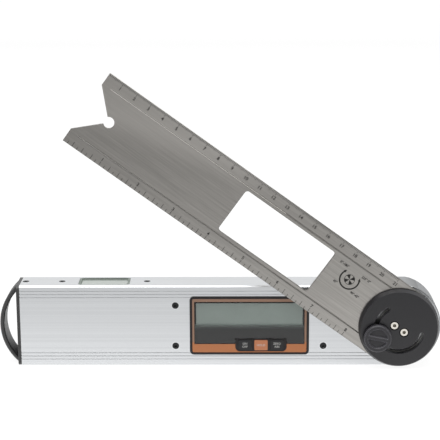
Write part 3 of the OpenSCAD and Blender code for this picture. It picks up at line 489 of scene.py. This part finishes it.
def skin(grid: np.ndarray, closed: bool = True) -> Mesh:
    """Joins closed sections into a skin of four-cornered faces.

    Args:
        grid: The points, as steps along, points of a section and coordinates.
        closed: Whether the last section joins the first; if not, each gets a cap.

    Returns:
        The points and faces.
    """
    steps, count = grid.shape[:2]
    u, v = np.meshgrid(np.arange(steps if closed else steps - 1), np.arange(count), indexing="ij")
    next_u, next_v = (u + 1) % steps, (v + 1) % count
    corners = [u * count + v, u * count + next_v, next_u * count + next_v, next_u * count + v]
    faces = np.stack(corners, axis=-1).reshape(-1, 4).tolist()
    if not closed:
        cap = np.arange(count)
        faces += [cap[::-1].tolist(), (cap + (steps - 1) * count).tolist()]
    return grid.reshape(-1, 3), faces


def rounded(half_x: float, half_y: float, radius: float, steps: int = ROUND_STEPS) -> np.ndarray:
    """Gives a rectangle's outline with round corners.

    The point at angle a is the middle of its quarter's corner arc plus the radius times (cos a, sin a).

    Args:
        half_x: Half its length.
        half_y: Half its depth.
        radius: The corners' radius.
        steps: The number of points, the same in each quarter.

    Returns:
        The points as X and Y, one a row.
    """
    angle = (np.arange(steps) + 0.5) * 2 * math.pi / steps
    x, y = np.cos(angle), np.sin(angle)
    return np.column_stack([np.sign(x) * (half_x - radius) + radius * x,
                            np.sign(y) * (half_y - radius) + radius * y])


def ring(profile: np.ndarray, steps: int = ROUND_STEPS, arc: Pair | None = None) -> Mesh:
    """Turns a closed profile round the Y axis, all the way or along an arc.

    The point at angle a of a profile point (r, y) is (r cos a, y, r sin a).

    Args:
        profile: The profile's points as radius and Y, in millimetres.
        steps: The number of steps round the axis.
        arc: An arc's first and last angle in degrees, counted from the right towards up.

    Returns:
        The points and faces.
    """
    if arc is None:
        angle = np.arange(steps)[:, None] * 2 * math.pi / steps
    else:
        angle = np.radians(np.linspace(*arc, steps + 1))[:, None]
    radius, back = profile.T
    grid = np.stack([radius * np.cos(angle), back + 0 * angle, radius * np.sin(angle)], axis=-1)
    return skin(grid, arc is None)


def hoop(inner: float, outer: float, low: float, high: float, steps: int = ROUND_STEPS,
         arc: Pair | None = None) -> Mesh:
    """Makes a ring with a rectangular section.

    Args:
        inner: The inner radius in millimetres.
        outer: The outer radius in millimetres.
        low: Y of its front.
        high: Y of its back.
        steps: The number of steps round the axis.
        arc: An arc's first and last angle in degrees, counted from the right towards up.

    Returns:
        The points and faces.
    """
    return ring(np.array([[inner, high], [inner, low], [outer, low], [outer, high]]), steps, arc)


def prism(outline: np.ndarray, thick: float) -> Mesh:
    """Makes a prism in front of the plane from an outline that runs right to up.

    Args:
        outline: The outline's points as right and up, in millimetres.
        thick: The thickness in millimetres.

    Returns:
        The points and faces of the closed prism.
    """
    flat = np.insert(outline, 1, 0.0, axis=1)
    return skin(np.stack([flat, flat - np.array([0.0, thick, 0.0])]), closed=False)


def lettering(words: str, height: float, middle: Pair, thick: float, bold: float = 0.0) -> Mesh:
    """Makes words as thin solid letters about a middle, facing the front.

    Args:
        words: The words on one line.
        height: The height of a capital in millimetres.
        middle: The line's middle as right and up, in millimetres.
        thick: The letters' thickness in millimetres.
        bold: How far the letters' outlines are moved out, in millimetres.

    Returns:
        The points and faces of the letters.
    """
    curve = bpy.data.curves.new("letters", "FONT")
    curve.body = words
    curve.size = height / CAPITAL
    curve.align_x = "CENTER"
    curve.align_y = "CENTER"
    curve.extrude = thick / 2
    curve.offset = bold
    curve.resolution_u = LETTER_STEPS
    holder = bpy.data.objects.new("letters", curve)
    mesh = bpy.data.meshes.new_from_object(holder)
    flat = np.empty(len(mesh.vertices) * 3)
    mesh.vertices.foreach_get("co", flat)
    right, up, front = flat.reshape(-1, 3).T
    points = np.column_stack([right + middle[0], -front - thick / 2, up + middle[1]])
    faces = [list(face.vertices) for face in mesh.polygons]
    bpy.data.objects.remove(holder)
    bpy.data.curves.remove(curve)
    bpy.data.meshes.remove(mesh)
    return points, faces


def drawn(name: str, mesh: Mesh, paint: bpy.types.Material) -> bpy.types.Object:
    """Makes an object from a mesh and puts it in the scene.

    Args:
        name: The object's name.
        mesh: Its points in metres and its faces.
        paint: Its material.

    Returns:
        The object.
    """
    points, faces = mesh
    data = bpy.data.meshes.new(name)
    data.from_pydata(points.tolist(), [], faces)
    data.update()
    data.materials.append(paint)
    made = bpy.data.objects.new(name, data)
    bpy.context.scene.collection.objects.link(made)
    return made


class SubAssembly:
    """A group of nodes and new pieces that are built and dressed together."""

    finishes: ClassVar[dict[str, Finish]]  # Each node's finish

    def build(self) -> None:
        """Makes the group's new pieces."""

    def dress(self) -> None:
        """Gives each of the group's nodes its finish."""
        for node, finish in self.finishes.items():
            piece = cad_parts[node]
            if not piece.material_slots:
                piece.data.materials.append(None)
            for holder in piece.material_slots:
                holder.material = finish.material()
            LOG.info("dressed %s in %s", node, finish.name)

    def piece(self, name: str, mesh: Mesh, body: Body, slot: str, finish: Finish) -> None:
        """Makes a new piece and lets it ride on a body.

        Args:
            name: The piece's name.
            mesh: Its points in metres and its faces.
            body: The body that it rides on.
            slot: Not used.
            finish: Its finish.
        """
        made = drawn(name, mesh, finish.material())
        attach(made, body.value)
        LOG.info("made %s: %d faces", name, len(mesh[1]))


@dataclass
class Shell(SubAssembly):
    """The extruded body with its nose plug, end cap and screws."""

    rim_r: float = 2.12  # Inner radius of a countersink's bright rim
    rim_w: float = 0.5  # Width of the bright rim
    proud: float = 0.03  # Height of the rim over the face
    top_z: float = 50.0  # Height of the top face
    front_y: float = -10.5  # Y of the front face
    top_screws: tuple[float, ...] = (-225.2, -203.184, -151.584)  # X of the screws in the top face
    # X and Z of the screws in the front face.
    display_screws: tuple[Pair, ...] = (
        (-134.204, 12.3), (-134.204, 37.7), (-45.004, 12.3), (-45.004, 37.7))
    finishes = {
        "body_extrusion": SILVER, "nose_plug": GREY_NYLON, "end_cap": CAP_NYLON, "top_screws": BLACK_OXIDE}

    def build(self) -> None:
        """Makes the bright rims round the countersunk screws."""
        points, faces = hoop(self.rim_r, self.rim_r + self.rim_w, -self.proud, 0.0)
        front = GAUGE.place((points, faces), *((x, self.front_y, z) for x, z in self.display_screws))
        self.piece("display_screw_rims", front, Body.BODY, "silver_anodised", BRIGHT_RIM_METAL)
        upright = np.column_stack([points[:, 0], points[:, 2], -points[:, 1]])
        top = GAUGE.place((upright, faces), *((x, 0.0, self.top_z) for x in self.top_screws))
        self.piece("top_screw_rims", top, Body.BODY, "silver_anodised", BRIGHT_RIM_METAL)


@dataclass
class Vial(SubAssembly):
    """The spirit vial in the top face."""

    middle: Pair = (-177.384, 42.2)  # X and Z of the vial's middle
    line_r: float = 4.18  # Radius of the lines round the spirit
    line_w: float = 0.45  # Width of a line
    line_t: float = 0.05  # Thickness of a line
    apart: float = 11.0  # Distance between the lines
    shade_half: Pair = (15.38, 7.48)  # Half the length and depth of the painted shade round the window
    shade_round: float = 1.95  # Radius of its outer corners
    shade_w: Pair = (1.3, 0.45)  # Its width at the window's ends and along its sides
    shade_z: Pair = (49.11, 49.9)  # Heights of its underside and top
    finishes = {
        "vial_holder": WHITE_ACETAL, "vial_block": VIAL_ACRYLIC, "vial_liquid": VIAL_SPIRIT,
        "vial_bubble": VIAL_AIR, "vial_plug": WHITE_ACETAL}

    def build(self) -> None:
        """Makes the two black lines that the bubble is read between, and painted shade, tinted by a painted
        reflection of the vial, on the wall round the window.
        """
        x, z = self.middle
        points, faces = hoop(self.line_r - self.line_t, self.line_r, 0.0, self.line_w)
        along = np.column_stack([points[:, 1], -points[:, 0], points[:, 2]])
        starts = [x + (side * self.apart - self.line_w) / 2 for side in (-1, 1)]
        lines = GAUGE.place((along, faces), *((start, 0.0, z) for start in starts))
        self.piece("vial_lines", lines, Body.BODY, "black_plastic", ETCHED_BLACK)
        half_x, half_y = self.shade_half
        end_w, side_w = self.shade_w
        low, high = self.shade_z
        outer = rounded(half_x, half_y, self.shade_round)
        inner = rounded(half_x - end_w, half_y - side_w, self.shade_round - side_w)
        loops = [np.insert(outline, 2, height, axis=1)
                 for outline, height in ((inner, low), (inner, high), (outer, high), (outer, low))]
        wall_shade = GAUGE.place(skin(np.stack(loops, axis=1)), (x, 0.0, 0.0))
        self.piece("vial_wall_shade", wall_shade, Body.BODY, "strip_rubber", VIAL_WALL_SHADE)


@dataclass
class Display(SubAssembly):
    """The display with its frame, lens, glass, board and buttons."""

    button_y: float = -11.2  # Y of the buttons' faces
    button_z: float = 12.8  # Height of the buttons' middles
    # Body, X of the middle and the lines of words of each button.
    words: tuple[tuple[Body, float, tuple[str, ...]], ...] = (
        (Body.ON_OFF, -92.304, ("ON", "OFF")), (Body.HOLD, -82.604, ("HOLD",)),
        (Body.ZERO, -72.904, ("ZERO", "ABS")))
    letter_h: float = 1.3  # Height of a capital
    line_gap: float = 1.9  # Distance between two lines of words
    ink_t: float = 0.03  # Thickness of the print
    # Outline of the lens's mask as X and Z, round the button panel.
    mask: tuple[Pair, ...] = (
        (-122.6, 13.65), (-98.3, 13.65), (-98.3, 16.95), (-66.9, 16.95), (-66.9, 13.65), (-56.6, 13.65),
        (-56.6, 26.6), (-122.6, 26.6))
    mask_y: float = -9.51  # Y of the mask's back, just inside the lens
    finishes = {
        "display_frame": BLACK_ABS, "display_fascia": FASCIA_LACQUER, "display_lens": LENS_ACRYLIC,
        "lcd_glass": LCD_GLASS, "contact_strips": STRIP_RUBBER, "circuit_board": BOARD_MASK,
        "dome_switches": NICKEL_STEEL, "button_on_off": BUTTON_ABS, "button_hold": COPPER_LACQUER,
        "button_zero": BUTTON_ABS, "display_screws": BLACK_OXIDE, "board_screws": NICKEL_STEEL}

    def build(self) -> None:
        """Prints the mask, whose soft top is painted shade, on the back of the lens, and the words on the
        buttons.
        """
        mask = GAUGE.place(prism(np.array(self.mask), self.ink_t), (0.0, self.mask_y, 0.0))
        self.piece("lens_mask", mask, Body.BODY, "black_plastic", LENS_MASK)
        for body, x, lines in self.words:
            first = (len(lines) - 1) / 2
            parts = [lettering(line, self.letter_h, (0.0, (first - i) * self.line_gap), self.ink_t)
                     for i, line in enumerate(lines)]
            words = GAUGE.place(join_meshes(parts), (x, self.button_y, self.button_z))
            self.piece(f"{body.value}_words", words, body, "white_nylon", PRINTED_WHITE)


class Battery(SubAssembly):
    """The battery behind its cover in the back wall."""

    finishes = {
        "battery_tray": BLACK_ABS, "battery_contacts": NICKEL_STEEL, "coin_cell": NICKEL_STEEL,
        "battery_cover": BLACK_ABS, "cover_screw": BLACK_OXIDE}


@dataclass
class Pivot(SubAssembly):
    """The pivot with its bush, washers, encoder, shaft and disc."""

    plane: FrontPlane = FrontPlane((0.0, -17.9, 25.0), 36.0)  # The disc's front plane about the pivot axis
    screw_off: float = 3.6  # Distance from the axis to each screw
    well_r: float = 0.94  # Radius of a screw's socket
    well_top: float = 0.35  # Depth of the socket's mouth behind the plane
    well_floor: float = 1.25  # Depth of the socket's floor behind the plane
    well_steps: int = 24  # Number of steps round the socket
    shade_t: float = 0.04  # Thickness of the painted shade inside the socket
    core_r: float = 0.02  # Radius of the pinhole in the middle of the painted shade's floor
    shadow_r: Pair = (2.4, 2.85)  # Inner and outer radius of the painted shadow ring round a screw's head
    shadow_t: float = 0.02  # Thickness of the painted shadow ring
    finishes = {
        "pivot_bush": BRASS, "friction_washer": WHITE_ACETAL, "thrust_washer": WHITE_ACETAL,
        "disc_spring": NICKEL_STEEL, "encoder_base": BLACK_ABS, "encoder_stator": BOARD_MASK,
        "encoder_ribbon": AMBER_FILM, "pivot_shaft": NICKEL_STEEL, "encoder_rotor": BOARD_MASK,
        "retaining_clip": NICKEL_STEEL, "pivot_disc": BLACK_ANODISED, "pivot_screws": NICKEL_STEEL}

    def build(self) -> None:
        """Makes painted shade inside the screws' sockets and painted shadow rings round their heads."""
        screws = [(side * self.screw_off, 0.0, 0.0) for side in (-1, 1)]
        inner, outer, floor = self.well_r - self.shade_t, self.well_r, self.well_floor
        profile = np.array([[self.core_r, floor - self.shade_t], [inner, floor - self.shade_t],
                            [inner, self.well_top], [outer, self.well_top], [outer, floor],
                            [self.core_r, floor]])
        well_shade = self.plane.place(ring(profile, self.well_steps), *screws)
        self.piece("pivot_screw_well_shade", well_shade, Body.BLADE, "black_screw", SHADED_STEEL)
        rings = self.plane.place(hoop(*self.shadow_r, -self.shadow_t, 0.0), *screws)
        self.piece("pivot_screw_head_shadows", rings, Body.BLADE, "black_screw", HEAD_SHADOW_PAINT)


class Lock(SubAssembly):
    """The lock's stud, spacer, washer and knob."""

    finishes = {
        "lock_stud": NICKEL_STEEL, "lock_spacer": WHITE_ACETAL, "lock_washer": NICKEL_STEEL,
        "lock_knob": KNOB_ABS}


@dataclass(frozen=True)
class SwingMark:
    """The mark that shows the blade's swing: an arc with arrowheads and labels about a small dial."""

    at: Spot = (-41.7, 0.0, 6.4)  # Its middle from the pivot axis
    arc_r: float = 5.9  # Radius of the arc
    arc: Pair = (156.0, 384.0)  # First and last angle of the arc
    arc_w: float = 0.9  # Width of the arc
    arc_steps: int = 32  # Number of steps along the arc
    head: float = 1.8  # Length and width of an arrowhead
    dial_r: float = 3.1  # Radius of the dial
    hub_r: float = 0.2  # Radius of the dial's bare middle
    rim: Pair = (0.0, 359.0)  # Angles of the dial's rim
    rim_w: float = 0.3  # Width of the rim
    wedge: Pair = (22.5, 67.5)  # First and last angle of the dial's wedge within a quarter
    wedge_steps: int = 8  # Number of steps along a wedge
    # Each label's words and middle.
    labels: tuple[tuple[str, Pair], ...] = (
        ("0°-180°", (-8.0, 6.0)), ("225°-0°", (8.1, 5.7)),
        ("90°-45°", (8.1, -5.9)), ("45°", (-6.3, -5.9)))
    label_h: float = 1.4  # Height of a label's capital

    def mesh(self, thick: float, bold: float) -> Mesh:
        """Makes the mark as thin solids about its middle.

        Args:
            thick: Their thickness in millimetres.
            bold: How far the labels' outlines are moved out, in millimetres.

        Returns:
            The points in millimetres and the faces.
        """
        half = self.arc_w / 2
        parts = [hoop(self.arc_r - half, self.arc_r + half, -thick, 0.0, self.arc_steps, self.arc)]
        for angle, way in zip(self.arc, (-1, 1)):
            a = math.radians(angle)
            out = np.array([math.cos(a), math.sin(a)])
            ahead = way * np.array([-math.sin(a), math.cos(a)])
            base, side = self.arc_r * out, self.head / 2 * out
            tip = np.array([base - side, base + self.head * ahead, base + side])
            parts.append(prism(tip[::way], thick))
        start, stop = self.wedge
        for turn in range(0, 360, 90):
            wedge = (turn + start, turn + stop)
            parts.append(hoop(self.hub_r, self.dial_r, -thick, 0.0, self.wedge_steps, wedge))
        half = self.rim_w / 2
        parts.append(hoop(self.dial_r - half, self.dial_r + half, -thick, 0.0, arc=self.rim))
        parts += [lettering(words, self.label_h, middle, thick, bold) for words, middle in self.labels]
        return join_meshes(parts)


@dataclass
class Rule(SubAssembly):
    """The steel blade with its etched scales."""

    plane: FrontPlane = FrontPlane((0.0, -13.7, 25.0), 36.0)  # The blade's front face about the pivot axis
    length: float = 228.0  # Distance from the pivot axis to the tip
    half_w: float = 24.25  # Half the blade's width
    ink_t: float = 0.02  # Thickness of the marks
    tick_w: float = 0.28  # Width of a tick
    number_in: float = 4.1  # Distance from an edge to the middle of its numbers
    number_h: float = 2.0  # Height of a number
    bold: float = 0.07  # How far the numbers' outlines are moved out
    metric_stop: int = 210  # Last millimetre of the metric scale
    # Lengths of the ticks at centimetres, half centimetres and millimetres.
    metric_long: tuple[float, float, float] = (2.2, 1.8, 1.4)
    inch: float = 25.4  # Length of an inch
    inch_stop: int = 8  # Last inch of the inch scale
    # Lengths of the ticks at inches, quarters and eighths.
    inch_long: tuple[float, float, float] = (2.6, 3.4, 1.8)
    line_in: float = 7.4  # Distance from an edge to its scored line
    line_span: Pair = (17.2, 221.8)  # Where the scored lines start and stop, from the pivot axis
    line_w: float = 0.8  # Width of a scored line
    line_depth: float = 0.3  # Depth of a scored line
    fill_w: float = 0.4  # Width of the painted shade or highlight skin on a line's flank
    fill_t: float = 0.03  # Thickness of the skin
    highlight_from: float = 96.0  # Where the painted highlight on the upper line's lower flank starts, from the pivot axis
    mark: SwingMark = SwingMark()  # The swing mark
    finishes = {"blade": BLADE_STEEL}

    def build(self) -> None:
        """Etches both scales and the swing mark, and puts skins of painted shade and highlight on the scored
        lines' flanks.
        """
        self.metric()
        self.inches()
        self.scored()
        self.etch("swing_mark", self.mark.mesh(self.ink_t, self.bold), self.mark.at)

    def etch(self, name: str, mesh: Mesh, *spots: Spot) -> None:
        """Makes a piece of black marks on the blade's front face.

        Args:
            name: The piece's name.
            mesh: Its points in millimetres and its faces.
            *spots: Where it goes, if not about the pivot axis.
        """
        self.piece(name, self.plane.place(mesh, *spots), Body.BLADE, "black_plastic", ETCHED_BLACK)

    def ticks(self, name: str, at: np.ndarray, long: np.ndarray, side: int) -> None:
        """Makes ticks that stand on one edge of the blade.

        Args:
            name: The piece's name.
            at: Each tick's distance from the tip.
            long: Each tick's length.
            side: 1 for the upper edge, -1 for the lower edge.
        """
        thin = np.full(len(at), self.ink_t / 2)
        middles = np.column_stack([at - self.length, -thin, side * (self.half_w - long / 2)])
        halves = np.column_stack([np.full(len(at), self.tick_w / 2), thin, long / 2])
        self.etch(name, boxes(middles, halves))

    def numbers(self, name: str, at: np.ndarray, side: int) -> None:
        """Makes the numbers 1, 2, 3 and so on at distances from the tip.

        Args:
            name: The piece's name.
            at: Each number's distance from the tip.
            side: 1 for the upper edge, -1 for the lower edge.
        """
        up = side * (self.half_w - self.number_in)
        parts = [lettering(str(i + 1), self.number_h, (x - self.length, up), self.ink_t, self.bold)
                 for i, x in enumerate(at.tolist())]
        self.etch(name, join_meshes(parts))

    def metric(self) -> None:
        """Makes the millimetre scale on the upper edge."""
        at = np.arange(1.0, self.metric_stop + 1.0)
        whole, half, rest = self.metric_long
        self.ticks("metric_ticks", at, np.select([at % 10 == 0, at % 5 == 0], [whole, half], rest), 1)
        self.numbers("metric_numbers", at[at % 10 == 0], 1)

    def inches(self) -> None:
        """Makes the inch scale, in eighths, on the lower edge."""
        eighth = np.arange(1, 8 * self.inch_stop + 1)
        whole, quarter, rest = self.inch_long
        long = np.select([eighth % 8 == 0, eighth % 2 == 0], [whole, quarter], rest)
        self.ticks("inch_ticks", eighth * self.inch / 8, long, -1)
        self.numbers("inch_numbers", np.arange(1, self.inch_stop + 1) * self.inch, -1)

    def scored(self) -> None:
        """Paints shade on the upper flanks of both scored lines, and a highlight on the upper line's lower
        flank.
        """
        start, stop = self.line_span
        shaded_flanks = [self.flank(side, 1, start, stop) for side in (-1, 1)]
        self.piece("scored_line_shade", join_meshes(shaded_flanks), Body.BLADE, "black_plastic", SCORED_SHADE)
        highlight_flank = self.flank(1, -1, self.highlight_from, stop)
        self.piece("scored_line_highlight", highlight_flank, Body.BLADE, "bright_steel", SCORED_HIGHLIGHT)

    def flank(self, side: int, facing: int, start: float, stop: float) -> Mesh:
        """Makes a thin box that is turned to lie on one flank of a scored line.

        A point's new depth is its depth times the flank's cosine less its height times the flank's sine, and
        its new height is its depth times the sine plus its height times the cosine.

        Args:
            side: 1 for the line near the upper edge, -1 for the one near the lower edge.
            facing: 1 for the line's upper flank, -1 for its lower flank.
            start: Where the box starts, from the pivot axis.
            stop: Where it stops.

        Returns:
            The points in metres and the faces.
        """
        long = math.hypot(self.line_w / 2, self.line_depth)
        cosine, sine = self.line_w / 2 / long, facing * self.line_depth / long
        middle = np.array([[-(start + stop) / 2, -self.fill_t / 2, 0.0]])
        half = np.array([[(stop - start) / 2, self.fill_t / 2, self.fill_w / 2]])
        points, faces = boxes(middle, half)
        along, back, up = points.T
        turned = np.column_stack([along, back * cosine - up * sine, back * sine + up * cosine])
        height = side * (self.half_w - self.line_in) + facing * self.line_w / 4
        return self.plane.place((turned, faces), (0.0, self.line_depth / 2, height))


@dataclass
class Studio:
    """The pale floor, the grey cards, the soft light and the camera."""

    azimuth: float = 0.673  # The camera's turn round the gauge in degrees
    elevation: float = 13.37  # The camera's height over the horizon in degrees
    roll: float = -0.261  # The camera's roll in degrees
    distance: float = 875.95  # Distance from the camera to its target in millimetres
    focal: float = 1458.55  # Focal length in pixels of the picture
    target: Spot = (-107.18, 0.0, 88.08)  # What the camera looks at, in millimetres
    picture: float = 440.0  # Width of the picture in pixels
    sensor: float = 36.0  # Width of the camera's sensor in millimetres
    near: float = 0.01  # Distance from which the camera sees, in metres
    reach: float = 6.0  # Half the floor's width in metres
    drop: float = 0.0002  # How far the floor lies below the gauge's base, in metres
    paper: float = 0.92  # Share of the light that the floor scatters
    fall: float = 1.2  # Distance before and behind the gauge over which the floor's glow falls off, in metres
    fall_power: float = 4.0  # The power that makes the glow fall off fast near the gauge
    glow: Pair = (0.55, 1.3)  # Strength of the floor's glow far from the gauge and at it
    glow_share: float = 0.8  # Share of the glow in what the floor shows; the rest is its scattered light
    shown: float = 1.15  # Strength of the glow to the camera, which makes the floor look white
    card_half: float = 2.5  # Half the grey cards' width, in metres
    card_tone: str = "#9A9A9A"  # The cards' colour
    # Each grey card's name, Y and height, in metres.
    cards: tuple[tuple[str, float, float], ...] = (("front_card", -1.7, 2.2), ("back_card", 1.7, 0.3))
    sky: Pair = (0.6, 1.0)  # Strength of the world's light, and of the world itself where it shows
    lamp_at: Spot = (-0.12, -0.3, 0.95)  # The lamp's place in metres
    lamp_size: Pair = (1.1, 0.6)  # The lamp's width and height in metres
    lamp_watts: float = 5.0  # The lamp's power

    def build(self) -> None:
        """Sets up the camera, the floor, the world, the grey cards and the lamp."""
        scene = bpy.context.scene
        scene.view_settings.view_transform = "Standard"
        scene.camera = self.camera()
        self.floor()
        self.world(scene)
        self.grey_cards()
        self.lamp()

    def camera(self) -> bpy.types.Object:
        """Makes the camera from its angles and distance.

        Returns:
            The camera.
        """
        az, el, roll = (math.radians(v) for v in (self.azimuth, self.elevation, self.roll))
        right = Vector((math.cos(az), math.sin(az), 0.0))
        ahead = Vector((-math.sin(az) * math.cos(el), math.cos(az) * math.cos(el), -math.sin(el)))
        up = right.cross(ahead)
        side = right * math.cos(roll) + up * math.sin(roll)
        top = up * math.cos(roll) - right * math.sin(roll)
        data = bpy.data.cameras.new("photo_camera")
        data.sensor_width = self.sensor
        data.lens = self.focal / self.picture * self.sensor
        data.clip_start = self.near
        made = bpy.data.objects.new("photo_camera", data)
        bpy.context.scene.collection.objects.link(made)
        turn = Matrix((side, top, -ahead)).transposed()
        place = (Vector(self.target) - ahead * self.distance) * MM
        made.matrix_world = Matrix.Translation(place) @ turn.to_4x4()
        return made

    def cleared(self, owner: bpy.types.Material | bpy.types.World) -> Tree:
        """Turns on the nodes of a material or a world and clears them.

        Args:
            owner: The material or the world.

        Returns:
            Its empty node tree.
        """
        owner.use_nodes = True
        owner.node_tree.nodes.clear()
        return owner.node_tree

    def seen(self, tree: Tree) -> Socket:
        """Gives a socket that is 1 for rays that show the background, and 0 for those that carry its light.

        Args:
            tree: The node tree that gets the nodes.

        Returns:
            The socket.
        """
        ray = add(tree, "LightPath")
        metal = add(tree, "Math", {0: ray["Is Camera Ray"], 1: ray["Is Glossy Ray"]}, operation="MAXIMUM")
        glass = add(tree, "Math", {0: metal[0], 1: ray["Is Transmission Ray"]}, operation="MAXIMUM")
        return glass[0]

    def sheet(self, name: str, low: Spot, high: Spot, paint: bpy.types.Material) -> None:
        """Makes a flat sheet with four corners for the stage.

        Args:
            name: The sheet's name.
            low: Its first corner in metres.
            high: The corner across from it.
            paint: Its material.
        """
        corners = np.array([low, (high[0], *low[1:]), high, (low[0], *high[1:])])
        made = drawn(name, (corners, [[0, 1, 2, 3]]), paint)

    def floor(self) -> None:
        """Makes a wide floor that looks white, keeps a faint shadow and glows brightest at the gauge."""
        paint = bpy.data.materials.new("white_studio_paper")
        tree = self.cleared(paint)
        white = add(tree, "BsdfDiffuse", values={"Color": (self.paper, self.paper, self.paper, 1.0)})
        place = add(tree, "TexCoord")
        parts = add(tree, "SeparateXYZ", {"Vector": place["Object"]})
        away = add(tree, "Math", {0: parts["Y"]}, operation="ABSOLUTE")
        near = add(tree, "MapRange", {"Value": away[0]}, {"From Min": self.fall, "From Max": 0.0})
        fall = add(tree, "Math", {0: near[0]}, {1: self.fall_power}, operation="POWER")
        far, close = self.glow
        level = add(tree, "MapRange", {"Value": fall[0]}, {"To Min": far, "To Max": close})
        ray = add(tree, "LightPath")
        shown = add(tree, "Mix", {0: ray["Is Camera Ray"], 2: level[0]}, {3: self.shown})
        glow = add(tree, "Emission", {"Strength": shown[0]}, {"Color": WHITE})
        share = add(tree, "Math", {0: self.seen(tree)}, {1: self.glow_share}, operation="MULTIPLY")
        mixed = add(tree, "MixShader", {0: share[0], 1: white[0], 2: glow[0]})
        add(tree, "OutputMaterial", {"Surface": mixed[0]})
        reach, height = self.reach, -self.drop
        self.sheet("floor", (-reach, -reach, height), (reach, reach, height), paint)

    def grey_cards(self) -> None:
        """Makes the cards that darken what upright metal mirrors, and that the camera looks through."""
        paint = bpy.data.materials.new("grey_card_paper")
        tree = self.cleared(paint)
        grey = add(tree, "BsdfDiffuse", values={"Color": linear(self.card_tone)})
        clear = add(tree, "BsdfTransparent")
        ray = add(tree, "LightPath")
        mixed = add(tree, "MixShader", {0: ray["Is Camera Ray"], 1: grey[0], 2: clear[0]})
        add(tree, "OutputMaterial", {"Surface": mixed[0]})
        for name, y, high in self.cards:
            self.sheet(name, (-self.card_half, y, 0.0), (self.card_half, y, high), paint)

    def world(self, scene: bpy.types.Scene) -> None:
        """Makes a world that looks white and gives a plain, soft light.

        Args:
            scene: The scene that gets the world.
        """
        scene.world = bpy.data.worlds.new("white_studio")
        tree = self.cleared(scene.world)
        light, look = (add(tree, "Background", values={"Color": WHITE, "Strength": strength})
                       for strength in self.sky)
        mixed = add(tree, "MixShader", {0: self.seen(tree), 1: light[0], 2: look[0]})
        add(tree, "OutputWorld", {"Surface": mixed[0]})

    def lamp(self) -> None:
        """Makes a soft rectangular lamp that faces the camera's target."""
        data = bpy.data.lights.new("top_softbox", "AREA")
        data.shape = "RECTANGLE"
        data.size, data.size_y = self.lamp_size
        data.energy = self.lamp_watts
        made = bpy.data.objects.new("top_softbox", data)
        bpy.context.scene.collection.objects.link(made)
        aim = Vector(self.target) * MM - Vector(self.lamp_at)
        made.location = self.lamp_at
        made.rotation_euler = aim.to_track_quat("-Z", "Y").to_euler()


def main() -> None:
    """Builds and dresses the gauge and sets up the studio."""
    logging.basicConfig(level=logging.INFO, format="%(name)s: %(message)s")
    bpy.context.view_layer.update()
    for group in (Shell(), Vial(), Display(), Battery(), Pivot(), Lock(), Rule()):
        group.build()
        group.dress()
    Studio().build()


if __name__ == "__main__":
    main()
